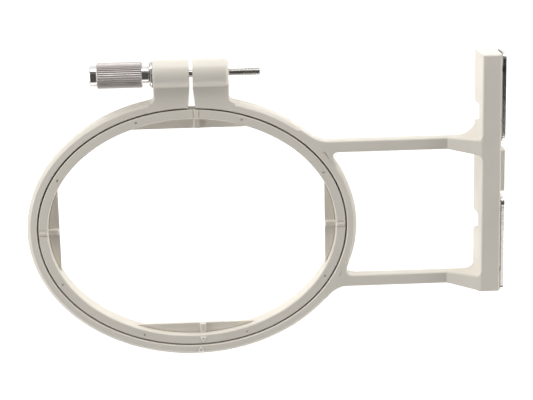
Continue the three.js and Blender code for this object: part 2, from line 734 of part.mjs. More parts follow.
function ribs() {
  const along = ovalX(0, HOOP_INSIDE) + JOIN;
  const across = ovalY(CROSS_MARK_X, HOOP_INSIDE) + JOIN;
  const upright = [...ribSection(CROSS_MARK_X)].reverse();
  return union([
    prismX(ribSection(0), -along, -FIELD_HALF_X),
    prismX(ribSection(0), FIELD_HALF_X, along),
    prismY(upright, -across, -FIELD_HALF_Y),
    prismY(upright, FIELD_HALF_Y, across),
  ]);
}

function hoopMarks() {
  const z0 = RING_HEIGHT - MARK_DEPTH;
  const z1 = RING_HEIGHT + JOIN;
  const half = RIB_WIDTH / 2;
  const lines = [-1, 1].flatMap((side) => {
    const edge = side * half;
    const [y0, y1] = span(edge, edge - side * MARK_LINE);
    const xIn = ovalX(0, HOOP_INSIDE) - JOIN;
    const xOut = ovalX(0, HOOP_OUTSIDE) + JOIN;
    const yIn = ovalY(CROSS_MARK_X, HOOP_INSIDE) - JOIN;
    const yOut = ovalY(CROSS_MARK_X, HOOP_OUTSIDE) + JOIN;
    return [
      box(-xOut, -xIn, y0, y1, z0, z1),
      box(xIn, xOut, y0, y1, z0, z1),
      box(CROSS_MARK_X + y0, CROSS_MARK_X + y1, yIn, yOut, z0, z1),
    ];
  });
  const arrowY = -ovalY(CROSS_MARK_X, HOOP_OUTSIDE) + MEETING_CHAMFER + ARROW_LENGTH;
  return [...lines, arrowMark(CROSS_MARK_X, arrowY, -1)];
}

function innerHoop() {
  return without(union([innerRing(), ledge(), ribs()]), hoopMarks());
}

// Clamp screw

// A helical thread along +Z from 0 to the given length, closed at both ends
function thread(length) {
  const steps = Math.round(length / THREAD_PITCH) * THREAD_STEPS;
  const root = SHANK_RADIUS - THREAD_DEPTH;
  const positions = [];
  const index = [];
  const push = (k, radius, rise) => {
    const angle = 2 * Math.PI * k / THREAD_STEPS;
    const z = THREAD_PITCH * (k / THREAD_STEPS + rise);
    positions.push(radius * Math.cos(angle), radius * Math.sin(angle), z);
  };
  for (let k = 0; k <= steps; k += 1) {
    push(k, root, 0);
    push(k, SHANK_RADIUS, 0.5);
  }
  const rootAt = (k) => 2 * k;
  const crestAt = (k) => 2 * k + 1;
  for (let k = 0; k < steps; k += 1) {
    index.push(rootAt(k), rootAt(k + 1), crestAt(k + 1), rootAt(k), crestAt(k + 1), crestAt(k));
    const up = k + THREAD_STEPS;
    if (up < steps) {
      index.push(crestAt(k), crestAt(k + 1), rootAt(up + 1), crestAt(k), rootAt(up + 1), rootAt(up));
    }
  }
  const low = positions.length / 3;
  positions.push(0, 0, 0);
  const high = low + 1;
  positions.push(0, 0, THREAD_PITCH * (steps / THREAD_STEPS + 0.5));
  const lowLoop = Array.from({ length: THREAD_STEPS + 1 }, (_, k) => rootAt(k)).concat(crestAt(0));
  const last = steps - THREAD_STEPS;
  const highLoop = Array.from({ length: THREAD_STEPS + 1 }, (_, k) => crestAt(last + k)).concat(rootAt(steps));
  lowLoop.forEach((vertex, i) => index.push(low, lowLoop[(i + 1) % lowLoop.length], vertex));
  highLoop.forEach((vertex, i) => index.push(high, vertex, highLoop[(i + 1) % highLoop.length]));
  const geometry = new THREE.BufferGeometry();
  geometry.setAttribute('position', new THREE.Float32BufferAttribute(positions, 3));
  geometry.setIndex(index);
  return geometry;
}

function clampScrew() {
  const tipX = LUG_RIGHT_X + SCREW_TIP_REACH;
  const plainEnd = LUG_RIGHT_X - JOIN;
  const startX = NECK_X - SHANK_IN_KNOB;
  const shank = turnedX(rod(SHANK_RADIUS, plainEnd - startX), startX, SCREW_Y, SCREW_Z, SMALL_TURN_STEPS);
  const threaded = thread(tipX - plainEnd + 2 * JOIN);
  threaded.rotateY(Math.PI / 2);
  threaded.translate(plainEnd - JOIN, SCREW_Y, SCREW_Z);
  const tip = tipX - startX;
  const trim = turnedX([
    [0, 0],
    [SHANK_RADIUS + JOIN, 0],
    [SHANK_RADIUS + JOIN, tip - TIP_CHAMFER - JOIN],
    [SHANK_RADIUS - TIP_CHAMFER, tip],
    [0, tip],
  ], startX, SCREW_Y, SCREW_Z, SMALL_TURN_STEPS);
  return shank.add(toSolid(threaded)).intersect(trim);
}

function knob() {
  const teeth = Array.from({ length: 2 * KNURL_COUNT }, (_, i) => {
    const radius = i % 2 ? KNOB_RADIUS - KNURL_DEPTH : KNOB_RADIUS;
    const angle = Math.PI * i / KNURL_COUNT;
    return [SCREW_Y + radius * Math.cos(angle), SCREW_Z + radius * Math.sin(angle)];
  });
  const barrelX = KNOB_X - KNOB_LENGTH;
  const barrel = prismX(teeth, barrelX, KNOB_X);
  const core = turnedX([
    [0, 0],
    [BOSS_RADIUS - BOSS_CHAMFER, 0],
    [BOSS_RADIUS, BOSS_CHAMFER],
    [BOSS_RADIUS, BOSS_LENGTH + JOIN],
    [NECK_RADIUS, BOSS_LENGTH + 2 * JOIN],
    [NECK_RADIUS, BOSS_LENGTH + KNOB_LENGTH + NECK_LENGTH],
    [0, BOSS_LENGTH + KNOB_LENGTH + NECK_LENGTH],
  ], barrelX - BOSS_LENGTH, SCREW_Y, SCREW_Z);
  const boreDepth = SHANK_IN_KNOB + SEAT_GAP;
  const bore = rod(SHANK_RADIUS + SEAT_GAP, boreDepth + JOIN);
  return barrel.add(core).subtract(turnedX(bore, NECK_X - boreDepth, SCREW_Y, SCREW_Z, SMALL_TURN_STEPS));
}

function washer(x, radius, thickness) {
  const hole = turnedX(rod(SHANK_RADIUS + SCREW_PLAY, thickness + 2 * JOIN), x - JOIN, SCREW_Y, SCREW_Z, SMALL_TURN_STEPS);
  return turnedX(rod(radius, thickness), x, SCREW_Y, SCREW_Z).subtract(hole);
}

function nut() {
  const half = NUT_ACROSS / 2;
  const blank = box(NUT_X, NUT_X + NUT_THICKNESS, SCREW_Y - half, SCREW_Y + half, SCREW_Z - half, SCREW_Z + half);
  const hole = rod(SHANK_RADIUS + SCREW_PLAY, NUT_THICKNESS + 2 * JOIN);
  return blank.subtract(turnedX(hole, NUT_X - JOIN, SCREW_Y, SCREW_Z, SMALL_TURN_STEPS));
}

// Centre stop: the outer bar, and a block through the wall that carries both springs

function centreStop() {
  const half = STOP_LENGTH / 2;
  const bar = prismX(
    roundedBox2D(STOP_Y - half, STOP_Y + half, GRIP_FOOT, GRIP_TOP, GRIP_ROUND),
    GRIP_INNER_X,
    GRIP_OUTER_X - GRIP_WALL_GAP,
  );
  const blockHalf = STOP_BLOCK_LENGTH / 2;
  const block = box(
    CHANNEL_LEFT + LATCH_SIDE_GAP,
    GRIP_INNER_X + GRIP_DEPTH / 2,
    STOP_Y - blockHalf,
    STOP_Y + blockHalf,
    BLOCK_FOOT,
    BLOCK_TOP,
  );
  const pegLength = STOP_BLOCK_LENGTH + 2 * SPRING_PEG_LENGTH;
  const peg = turned(rod(SPRING_PEG_RADIUS, pegLength), SMALL_TURN_STEPS);
  peg.rotateX(-Math.PI / 2);
  peg.translate(CHANNEL_MID, STOP_Y - pegLength / 2, SPRING_Z);
  const holes = [0, 1].map((index) => turnedZ(
    rod(GUIDE_THREAD_RADIUS + SEAT_GAP, STOP_BLOCK_HEIGHT + 2 * JOIN),
    CHANNEL_MID,
    stopScrewY(index),
    BLOCK_FOOT - JOIN,
    SMALL_TURN_STEPS,
  ));
  return without(union([bar, block, toSolid(peg)]), holes);
}

// A headed screw that points up from below, with a straight driver slot
function headedScrew(y, headZ, shoulderRadius, shoulderLength, threadLength) {
  const headTop = GUIDE_HEAD_HEIGHT;
  const screw = turnedZ([
    [0, 0],
    [GUIDE_HEAD_RADIUS, 0],
    [GUIDE_HEAD_RADIUS, headTop],
    [shoulderRadius, headTop],
    [shoulderRadius, headTop + shoulderLength],
    [GUIDE_THREAD_RADIUS, headTop + shoulderLength],
    [GUIDE_THREAD_RADIUS, headTop + shoulderLength + threadLength],
    [0, headTop + shoulderLength + threadLength],
  ], CHANNEL_MID, y, headZ, SMALL_TURN_STEPS);
  const reach = GUIDE_HEAD_RADIUS + JOIN;
  const half = SCREW_SLOT_WIDTH / 2;
  const slotTop = headZ + SCREW_SLOT_DEPTH;
  return screw.subtract(box(CHANNEL_MID - reach, CHANNEL_MID + reach, y - half, y + half, headZ - JOIN, slotTop));
}

function stopScrew(index) {
  const headZ = BLOCK_FOOT - SEAT_GAP - GUIDE_HEAD_HEIGHT;
  const throughBlock = STOP_BLOCK_HEIGHT + 2 * SEAT_GAP;
  const posts = CHANNEL_TOP - BLOCK_TOP - JOIN - 2 * SEAT_GAP;
  return headedScrew(stopScrewY(index), headZ, GUIDE_THREAD_RADIUS, throughBlock, posts);
}

function guideScrew(side) {
  const headZ = LATCH_Z - SLIDE_GAP - GUIDE_HEAD_HEIGHT;
  const shoulder = LATCH_SHEET + 2 * SLIDE_GAP - SEAT_GAP;
  return headedScrew(guideY(side), headZ, GUIDE_SHOULDER_RADIUS, shoulder, GUIDE_THREAD_LENGTH);
}

// Spring clips

// A pressed sheet-metal pan with its open side against the channel wall
function fingerGrip(side) {
  const [y0, y1] = span(STOP_Y + side.dir * GRIP_START, side.end + side.dir * CLIP_OVERHANG);
  const skin = GRIP_SHEET;
  const outer = prismX(roundedBox2D(y0, y1, GRIP_FOOT, GRIP_TOP, GRIP_ROUND), GRIP_INNER_X, GRIP_OUTER_X);
  const crown = prismY([
    [GRIP_INNER_X, GRIP_FOOT],
    ...arc(GRIP_OUTER_X - GRIP_ROUND, GRIP_FOOT + GRIP_ROUND, GRIP_ROUND, -90, 0),
    ...arc(GRIP_OUTER_X - GRIP_ROUND, GRIP_TOP - GRIP_ROUND, GRIP_ROUND, 0, 90),
    [GRIP_INNER_X, GRIP_TOP],
  ].reverse(), y0, y1);
  const inner = prismX(
    roundedBox2D(y0 + skin, y1 - skin, GRIP_FOOT + skin, GRIP_TOP - skin, GRIP_ROUND - skin / 2),
    GRIP_INNER_X - JOIN,
    GRIP_OUTER_X - skin,
  );
  const hole = turnedX(rod(RIVET_RADIUS + SEAT_GAP, GRIP_DEPTH + 2 * JOIN), GRIP_INNER_X, rivetY(side), RIVET_Z, SMALL_TURN_STEPS);
  return without(outer.intersect(crown), [inner, hole]);
}

// Flat latch plate with an upright spring seat, a side tab for the grip and an open hook for the arm's pin
function latchPlate(side) {
  const x0 = CHANNEL_LEFT + LATCH_SIDE_GAP;
  const x1 = CHANNEL_RIGHT - LATCH_SIDE_GAP;
  const near = STOP_Y + side.dir * (GRIP_START - LATCH_SEAT_INSET);
  const [y0, y1] = span(near, side.pin + side.dir * HOOK_REACH);
  const [seat0, seat1] = span(near, near + side.dir * LATCH_SHEET);
  const [tab0, tab1] = tabSpan(side);
  const rise = TAB_Z + LATCH_TAB_HEIGHT;
  const tabEnd = GRIP_OUTER_X - GRIP_SHEET - SEAT_GAP;
  const plate = union([
    box(x0, x1, y0, y1, LATCH_Z, LATCH_TOP),
    box(x0, x1, seat0, seat1, LATCH_Z, LATCH_SEAT_TOP),
    box(x1 - LATCH_SHEET, x1, tab0, tab1, LATCH_Z, rise),
    box(x1 - LATCH_SHEET, tabEnd, tab0, tab1, TAB_Z, rise),
  ]);
  const radius = GUIDE_SHOULDER_RADIUS + SLIDE_GAP / 2;
  const [near0, far0] = span(guideY(side), guideY(side) + side.dir * CLIP_TRAVEL);
  const guide = slotOutline(near0 - radius, far0 + radius, CHANNEL_MID, radius).map(([y, x]) => [x, y]).reverse();
  const neck = PIN_NECK_WIDTH / 2;
  const [hook0, hook1] = span(side.pin, side.pin + side.dir * (HOOK_REACH + JOIN));
  return without(plate, [
    prismZ(guide, LATCH_Z - JOIN, LATCH_TOP + JOIN),
    turnedZ(rod(neck, LATCH_SHEET + 2 * JOIN), CHANNEL_MID, side.pin, LATCH_Z - JOIN, SMALL_TURN_STEPS),
    box(CHANNEL_MID - neck, CHANNEL_MID + neck, hook0, hook1, LATCH_Z - JOIN, LATCH_TOP + JOIN),
  ]);
}

function gripRivet(side) {
  const headX = CHANNEL_RIGHT - 2 * SEAT_GAP - RIVET_WASHER_THICKNESS - RIVET_HEAD_HEIGHT;
  return turnedX([
    [0, 0],
    [RIVET_HEAD_RADIUS - RIVET_HEAD_HEIGHT / 2, 0],
    [RIVET_HEAD_RADIUS, RIVET_HEAD_HEIGHT / 2],
    [RIVET_HEAD_RADIUS, RIVET_HEAD_HEIGHT],
    [RIVET_RADIUS, RIVET_HEAD_HEIGHT],
    [RIVET_RADIUS, GRIP_OUTER_X - headX],
    [0, GRIP_OUTER_X - headX],
  ], headX, rivetY(side), RIVET_Z, SMALL_TURN_STEPS);
}

function gripWasher(side) {
  const x = CHANNEL_RIGHT - SEAT_GAP - RIVET_WASHER_THICKNESS;
  const hole = rod(RIVET_RADIUS + SEAT_GAP, RIVET_WASHER_THICKNESS + 2 * JOIN);
  return turnedX(rod(RIVET_WASHER_RADIUS, RIVET_WASHER_THICKNESS), x, rivetY(side), RIVET_Z, SMALL_TURN_STEPS)
    .subtract(turnedX(hole, x - JOIN, rivetY(side), RIVET_Z, SMALL_TURN_STEPS));
}

// A coil spring round the centre stop's peg, from the block to the latch plate's seat
class CoilCurve extends THREE.Curve {
  constructor(y0, y1) {
    super();
    this.y0 = y0;
    this.y1 = y1;
  }

  getPoint(t, target = new THREE.Vector3()) {
    const angle = 2 * Math.PI * SPRING_TURNS * t;
    return target.set(
      CHANNEL_MID + SPRING_RADIUS * Math.cos(angle),
      this.y0 + (this.y1 - this.y0) * t,
      SPRING_Z + SPRING_RADIUS * Math.sin(angle),
    );
  }
}

// Least clear distance between points of the coil that are at least half a turn apart
function leastTurnGap(coil) {
  const points = coil.getPoints(SPRING_TURNS * COIL_STEPS);
  const gaps = points.flatMap((point, i) => points.slice(i + COIL_STEPS / 2).map((other) => point.distanceTo(other)));
  return Math.min(...gaps) - SPRING_WIRE;
}

function latchSpring(side) {
  const inset = SPRING_WIRE / 2 + SEAT_GAP;
  const start = STOP_Y + side.dir * (STOP_BLOCK_LENGTH / 2 + inset);
  const end = STOP_Y + side.dir * (GRIP_START - LATCH_SEAT_INSET - inset);
  const coil = new CoilCurve(start, end);
  console.log(`${side.name} spring: least gap between turns ${leastTurnGap(coil).toFixed(2)} mm`);
  const section = new THREE.Shape(arc(0, 0, SPRING_WIRE / 2, 0, 360 - 360 / COIL_SIDES, COIL_SIDES - 1)
    .map(([u, v]) => new THREE.Vector2(u, v)));
  return new THREE.ExtrudeGeometry(section, {
    steps: SPRING_TURNS * COIL_STEPS,
    extrudePath: coil,
    bevelEnabled: false,
  });
}

// The whole hoop

const hoop = new THREE.Group();

function addPiece(name, shape, material) {
  const geometry = shape.isBufferGeometry ? shape : toGeometry(shape);
  const mesh = new THREE.Mesh(geometry, MATERIALS[material]);
  mesh.name = name;
  hoop.add(mesh);
}

addPiece('outer_frame', outerFrame(), 'frame');
addPiece('inner_hoop', innerHoop(), 'hoop');
addPiece('clamp_screw', clampScrew(), 'steel');
addPiece('knurled_knob', knob(), 'chrome');
addPiece('thrust_washer', washer(WASHER_X, WASHER_RADIUS, WASHER_THICKNESS), 'chrome');
addPiece('spring_washer', washer(SPRING_WASHER_X, SPRING_WASHER_RADIUS, SPRING_WASHER_THICKNESS), 'steel');
addPiece('clamp_nut', nut(), 'brass');
addPiece('centre_stop', centreStop(), 'stop');
[0, 1].forEach((index) => addPiece(`stop_screw_${index + 1}`, stopScrew(index), 'steel'));
SIDES.forEach((side) => {
  addPiece(`${side.name}_finger_grip`, fingerGrip(side), 'chrome');
  addPiece(`${side.name}_latch_plate`, latchPlate(side), 'steel');
  addPiece(`${side.name}_latch_spring`, latchSpring(side), 'spring');
  addPiece(`${side.name}_guide_screw`, guideScrew(side), 'steel');
  addPiece(`${side.name}_grip_rivet`, gripRivet(side), 'steel');
  addPiece(`${side.name}_grip_washer`, gripWasher(side), 'steel');
});

// The origin lies under the middle of the whole hoop
const extent = new THREE.Box3().setFromObject(hoop);
const middle = extent.getCenter(new THREE.Vector3());
hoop.position.set(-middle.x, -middle.y, -extent.min.z);

export default hoop;
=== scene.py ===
"""Machine embroidery hoop: mouldings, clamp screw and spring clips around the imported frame."""

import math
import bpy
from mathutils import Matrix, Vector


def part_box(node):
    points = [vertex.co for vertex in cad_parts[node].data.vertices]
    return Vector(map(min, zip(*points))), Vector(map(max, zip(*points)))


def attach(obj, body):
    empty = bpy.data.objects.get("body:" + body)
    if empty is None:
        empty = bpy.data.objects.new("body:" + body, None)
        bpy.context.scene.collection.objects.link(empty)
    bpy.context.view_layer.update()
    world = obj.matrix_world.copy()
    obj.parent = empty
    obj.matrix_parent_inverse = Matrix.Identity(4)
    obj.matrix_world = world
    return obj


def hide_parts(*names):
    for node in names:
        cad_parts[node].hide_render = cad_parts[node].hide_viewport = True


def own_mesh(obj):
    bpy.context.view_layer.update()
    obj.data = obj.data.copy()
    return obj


bl_info = {
    "name": "Machine Embroidery Hoop",
    "version": (1, 0, 0),
    "blender": (4, 5, 0),
    "location": "View3D > Sidebar > Hoop",
    "description": "Builds an oval split embroidery hoop with a clamp screw and a clip-on connector",
    "category": "Object",
}

import bmesh
import bpy
from mathutils import Euler, Vector

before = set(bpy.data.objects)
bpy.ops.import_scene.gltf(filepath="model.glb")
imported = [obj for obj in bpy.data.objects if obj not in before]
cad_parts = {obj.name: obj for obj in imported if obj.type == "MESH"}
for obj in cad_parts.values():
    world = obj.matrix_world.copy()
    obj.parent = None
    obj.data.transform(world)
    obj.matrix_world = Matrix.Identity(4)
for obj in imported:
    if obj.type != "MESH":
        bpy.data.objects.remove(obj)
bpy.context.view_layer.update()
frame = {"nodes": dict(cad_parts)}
MM = 0.001
HOOP_LOW, HOOP_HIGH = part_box("inner_hoop")
FRAME_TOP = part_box("outer_frame")[1].z
SCREW_LOW, SCREW_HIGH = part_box("clamp_screw")
KNOB_LOW, KNOB_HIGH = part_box("knurled_knob")
STOP_LOW, STOP_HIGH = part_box("centre_stop")
OVAL_X = (HOOP_LOW.x + HOOP_HIGH.x) / 2
OVAL_Y = (HOOP_LOW.y + HOOP_HIGH.y) / 2
RING_TOP = HOOP_HIGH.z
SCREW_Y = (SCREW_LOW.y + SCREW_HIGH.y) / 2
SCREW_Z = (SCREW_LOW.z + SCREW_HIGH.z) / 2
SCREW_OUT = SCREW_Y - OVAL_Y
STOP_Y = (STOP_LOW.y + STOP_HIGH.y) / 2
BLOCK_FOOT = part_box("stop_screw_1")[0].z + 1.1 * MM
BLOCK_TOP = BLOCK_FOOT + 8.0 * MM
SIDES = {"upper": 1, "lower": -1}

JOIN = 1.0 * MM  # how far a cutter or a joined shape reaches past a face
SINK = 0.05 * MM  # a small step that keeps two faces from lying in one plane
ROOM = 0.1 * MM  # room round a screw or rivet in its hole
SOFT = 0.3 * MM  # chamfer of turned ends
CORNER = 0.5 * MM  # rounding of moulded pockets
MERGE = 1e-6  # metres within which two points count as one
OVAL_STEPS = 180
QUARTER = [math.radians(18 * i) for i in range(6)]
KNURL = (0.0, 0.4, 1.0, 0.4)  # shares of the knurl's depth, from one ridge to the next
KNURL_RIDGES = 40
DIMPLES = ((27.0, 56.8), (68.4, 27.8))  # in millimetres from the oval's centre
MIX_A, MIX_B, MIX_COLOUR = 6, 7, 2  # sockets of a Mix node that mixes colours


def length(name, description, default):
    """A distance that the panel shows, given in millimetres."""
    return bpy.props.FloatProperty(
        name=name, description=description, default=default * MM, min=0.0, unit="LENGTH", precision=5
    )


def colour(name, description, default):
    return bpy.props.FloatVectorProperty(
        name=name, description=description, default=default, size=3, subtype="COLOR", min=0.0, max=1.0
    )


class RingSizes(bpy.types.PropertyGroup):
    half_length: length("Half length", "Half length of the oval where the two rings meet", 79.85)
    half_width: length("Half width", "Half width of the oval where the two rings meet", 63.15)
    play: length("Play", "Gap between the two rings", 0.8)
    outer_width: length("Outer width", "Width of the outer ring", 5.2)
    inner_width: length("Inner width", "Width of the inner ring", 4.9)
    outer_round: length("Outer rounding", "Rounding of the outer ring's top edge", 2.2)
    inner_round: length("Inner rounding", "Rounding of the inner ring's top edge", 1.0)
    chamfer: length("Meeting chamfer", "Chamfer where the rings meet", 0.5)
    foot_chamfer: length("Foot chamfer", "Chamfer of the rings' lower edges", 0.4)
    field_x: length("Field half length", "Half length of the opening in the ledge", 69.0)
    field_y: length("Field half width", "Half width of the opening in the ledge", 52.5)
    ledge_drop: length("Ledge drop", "Depth of the ledge below the ring's top", 4.2)
    ledge_thickness: length("Ledge thickness", "Thickness of the ledge", 2.0)
    groove: length("Ledge groove", "Width and depth of the groove between ledge and ring", 0.45)
    rib_width: length("Rib width", "Width of the centre ribs", 3.0)
    rib_height: length("Rib height", "Height of the centre ribs above the ledge", 1.8)
    cross_x: length("Centre line", "Distance of the sighting marks from the oval's centre", 3.8)
    mark_depth: length("Mark depth", "Depth of the sighting marks", 0.5)
    mark_line: length("Mark line", "Line width of the sighting marks", 0.8)
    ridge: length("Ridge width", "Width of the raised sighting marks", 0.5)
    ridge_height: length("Ridge height", "Height of the raised sighting marks", 0.45)


class ClampSizes(bpy.types.PropertyGroup):
    slit_x: length("Slit place", "Distance of the slit from the oval's centre", 1.7)
    slit_width: length("Slit width", "Width of the slit between the lugs", 1.8)
    slit_mouth: length("Slit mouth", "Width of the slit where it opens inside the ring", 4.2)
    lug_width: length("Lug width", "Length of each lug along the screw", 18.4)
    lug_round: length("Lug rounding", "Rounding of the right lug's outer end", 2.6)
    left_round: length("Left rounding", "Rounding of the left lug's end beside the washers", 1.1)
    lug_fillet: length("Lug fillet", "Inner corner between lug and ring", 2.5)
    barrel_radius: length("Barrel radius", "Radius of the lugs' barrels", 7.3)
    shank_radius: length("Shank radius", "Radius of the clamp screw", 1.95)
    pitch: length("Thread pitch", "Pitch of the clamp screw's thread", 0.7)
    thread_depth: length("Thread depth", "Depth of the thread", 0.35)
    knob_radius: length("Knob radius", "Radius of the knurled barrel", 6.6)
    knurl_depth: length("Knurl depth", "Depth of the knurling", 0.28)
    neck_radius: length("Neck radius", "Radius of the knob's neck", 4.3)
    boss_radius: length("Boss radius", "Radius of the knob's end boss", 5.4)
    boss_length: length("Boss length", "Length of the knob's end boss", 3.9)
    neck_length: length("Neck length", "Length of the knob's neck", 3.4)


class ConnectorSizes(bpy.types.PropertyGroup):
    arm_width: length("Arm width", "Width of each arm", 6.4)
    arm_height: length("Arm height", "Height of each arm", 7.0)
    arm_round: length("Arm rounding", "Rounding of the arms' edges", 1.2)
    upper_arm: length("Upper arm", "Distance of the upper arm from the oval's centre line", 41.2)
    lower_arm: length("Lower arm", "Distance of the lower arm from the oval's centre line", 30.9)
    ring_fillet: length("Ring fillet", "Inner corner between arm and ring", 6.0)
    ramp_length: length("Ramp length", "Length of the rise from arm to connector", 16.0)
    ramp_fillet: length("Ramp fillet", "Inner corner between ramp and connector top", 2.5)
    ramp_flare: length("Ramp flare", "Widening of each ramp below its arm's lower edge", 1.8)
    foot_x: length("Foot place", "Distance of the channel's foot from the oval's centre", 148.0)
    width: length("Width", "Width of the channel at its foot", 10.7)
    draft: length("Draft", "Lean of the channel's inner wall", 0.7)
    rounding: length("Rounding", "Rounding of the channel's top edges", 1.3)
    outer_rounding: length("Outer rounding", "Rounding of the channel's edge next to the grips", 1.0)
    wall: length("Wall", "Thickness of the channel's walls", 1.6)
    roof: length("Roof", "Thickness of the channel's roof", 2.0)
    end_wall: length("End wall", "Thickness of the channel's end walls", 2.2)
    top_y: length("Top end", "Distance of the upper end from the oval's centre line", 88.3)
    foot_y: length("Lower end", "Distance of the lower end from the oval's centre line", 36.5)
    upper_root: length("Upper ramp root", "Fillet above the upper ramp at the channel", 10.0)
    lower_root: length("Lower ramp root", "Fillet above the lower ramp at the channel", 6.0)
    under_root: length("Under root", "Fillet below each ramp at the channel", 2.5)
    core_width: length("Core width", "Width of the pockets in the arms' undersides", 3.2)
    core_depth: length("Core depth", "Depth of the pockets in the arms' undersides", 4.4)
    upper_notch: length("Upper notch", "Distance of the upper notch from the oval's centre line", 61.4)
    lower_notch: length("Lower notch", "Distance of the lower notch from the oval's centre line", 3.5)
    boss_radius: length("Boss radius", "Radius of the screw posts inside the channel", 2.3)
    notch_height: length("Notch height", "Height of the notches in the inner wall", 12.0)
    notch_top: length("Notch top", "Width of the notches at their top", 7.3)
    notch_foot: length("Notch foot", "Width of the notches at their foot", 9.8)


class ClipSizes(bpy.types.PropertyGroup):
    travel: length("Travel", "How far each clip is squeezed inwards", 3.2)
    play: length("Slide play", "Room round each sliding part", 0.3)
    sheet: length("Grip sheet", "Sheet thickness of the finger grips", 0.5)
    grip_round: length("Grip rounding", "Bend radius of the finger grips", 0.6)
    grip_corner: length("Grip corners", "Radius of the finger grips' four corners", 3.6)
    grip_gap: length("Grip gap", "Gap between the grips' open side and the channel's wall", 0.45)
    plate: length("Latch sheet", "Sheet thickness of the latch plates", 1.2)
    tab_place: length("Tab place", "From the inner end of a latch plate to its side tab", 9.9)
    tab_low: length("Tab foot", "Height of the tab's lower edge", 5.0)
    tab_high: length("Tab top", "Height of the tab's upper edge", 10.0)
    guide_place: length("Guide place", "From the inner end of a latch plate to its guide screw", 4.0)
    guide_radius: length("Guide radius", "Radius of the guide screws' shoulders", 1.3)
    hook_reach: length("Hook reach", "From the pin's middle to the end of the latch plate", 0.4)
    pin_neck: length("Pin neck", "Width of the hook that takes the carriage's pin", 3.8)
    head_radius: length("Screw head", "Radius of the small screws' heads", 2.5)
    head_height: length("Head height", "Height of the small screws' heads", 1.0)
    thread_radius: length("Small thread", "Radius of the small screws' threads", 1.0)
    rivet_radius: length("Rivet radius", "Radius of the rivets' shanks", 1.5)
    rivet_head: length("Rivet head", "Radius of the rivets' heads", 2.6)
    wire: length("Spring wire", "Diameter of the spring wire", 0.6)
    coil: length("Coil radius", "Radius of the springs' coils", 2.1)
    peg_radius: length("Spring peg", "Radius of the pegs that hold the springs", 1.4)
    stop_round: length("Stop rounding", "Rounding of the centre stop's corners", 1.2)
    stop_half: length("Stop block", "Half length of the centre stop's block", 5.5)
    stop_spacing: length("Stop screws", "Distance between the two stop screws", 6.0)


class Finishes(bpy.types.PropertyGroup):
    frame: colour("Frame", "Moulded plastic of the outer frame", (0.80, 0.752, 0.67))
    hoop: colour("Hoop", "Moulded plastic of the inner hoop", (0.79, 0.742, 0.66))
    stop: colour("Stop", "Moulded plastic of the centre stop", (0.82, 0.775, 0.69))
    # Painted highlight: the lighter colour on the raised arrows stands in for the light their ridges catch.
    mark: colour("Mark", "Wiped-on paint of the raised arrows", (0.93, 0.91, 0.86))
    plate: colour("Plate", "Bright plating", (0.88, 0.855, 0.83))
    # Painted shade: the knurled barrel's plating is set darker than the same plating on the knob's boss and
    # neck, standing in for the shade and dark reflections in the knurl.
    knurl: colour("Knurl", "Plating on the knurled barrel", (0.58, 0.54, 0.52))
    steel: colour("Steel", "Plain steel", (0.60, 0.58, 0.555))
    brass: colour("Brass", "Turned brass", (0.72, 0.53, 0.25))


def rings():
    return bpy.context.scene.hoop_rings


def clamp():
    return bpy.context.scene.hoop_clamp


def connector():
    return bpy.context.scene.hoop_connector


def clips():
    return bpy.context.scene.hoop_clips


# Modelling helpers


def at(x, y, z=0.0):
    """A place given from the oval's centre and the hoop's underside."""
    return Vector((OVAL_X + x, OVAL_Y + y, z))


def moved(outline, x=0.0):
    """An outline given from the oval's centre, in the row frame."""
    return [(OVAL_X + x + u, OVAL_Y + v) for u, v in outline]


def halfway(low, high):
    """The middle between two corners."""
    return [(a + b) / 2 for a, b in zip(low, high)]


def deselect():
    if bpy.context.mode != "OBJECT":
        bpy.ops.object.mode_set(mode="OBJECT")
    bpy.ops.object.select_all(action="DESELECT")


def take(piece):
    deselect()
    piece.select_set(True)
    bpy.context.view_layer.objects.active = piece


def named(name):
    piece = bpy.context.object
    piece.name = piece.data.name = name
    return piece


def edit(piece):
    take(piece)
    bpy.ops.object.mode_set(mode="EDIT")


def edit_all(piece):
    """Opens the piece in edit mode with everything selected."""
    edit(piece)
    bpy.ops.mesh.select_all(action="SELECT")


def leave(piece):
    bpy.ops.object.mode_set(mode="OBJECT")
    return piece


def settle(piece):
    """Moves the piece's place into its mesh, so that its object stands at the origin."""
    take(piece)
    bpy.ops.object.transform_apply(location=True, rotation=True, scale=True)
    return piece


def apply(piece, kind, **settings):
    """Adds a modifier with these settings and applies it."""
    step = piece.modifiers.new(kind, kind)
    for key, value in settings.items():
        setattr(step, key, value)
    take(piece)
    bpy.ops.object.modifier_apply(modifier=step.name)


def pick(piece, kind, test):
    """Selects, in edit mode, the edges or faces that pass the test."""
    bpy.ops.mesh.select_mode(type=kind)
    bpy.ops.mesh.select_all(action="DESELECT")
    shape = bmesh.from_edit_mesh(piece.data)
    for item in shape.edges if kind == "EDGE" else shape.faces:
        item.select_set(bool(test(item)))
    bmesh.update_edit_mesh(piece.data)


def near(a, b, slack=0.02 * MM):
    return abs(a - b) < slack


def level(edge, axis, value):
    """True for an edge whose two ends lie at the value along the axis."""
    return all(near(vertex.co[axis], value) for vertex in edge.verts)


def along(edge, axis):
    """True for an edge that runs along the axis."""
    run = (edge.verts[1].co - edge.verts[0].co).normalized()
    return abs(run[axis]) > 0.99


def rim(axis, value):
    """A test for the edges that lie at the value along the axis."""
    return lambda edge: level(edge, axis, value)


def runs(axis):
    """A test for the edges that run along the axis."""
    return lambda edge: along(edge, axis)


def bevel(piece, width, segments, test, profile=0.5):
    edit(piece)
    pick(piece, "EDGE", test)
    bpy.ops.mesh.bevel(offset=width, offset_type="OFFSET", segments=segments, profile=profile, affect="EDGES")
    return leave(piece)


def extrude(move, scale=None, centre=None):
    bpy.ops.mesh.extrude_region_move(TRANSFORM_OT_translate={"value": move})
    if scale:
        bpy.ops.transform.resize(value=scale, center_override=centre)


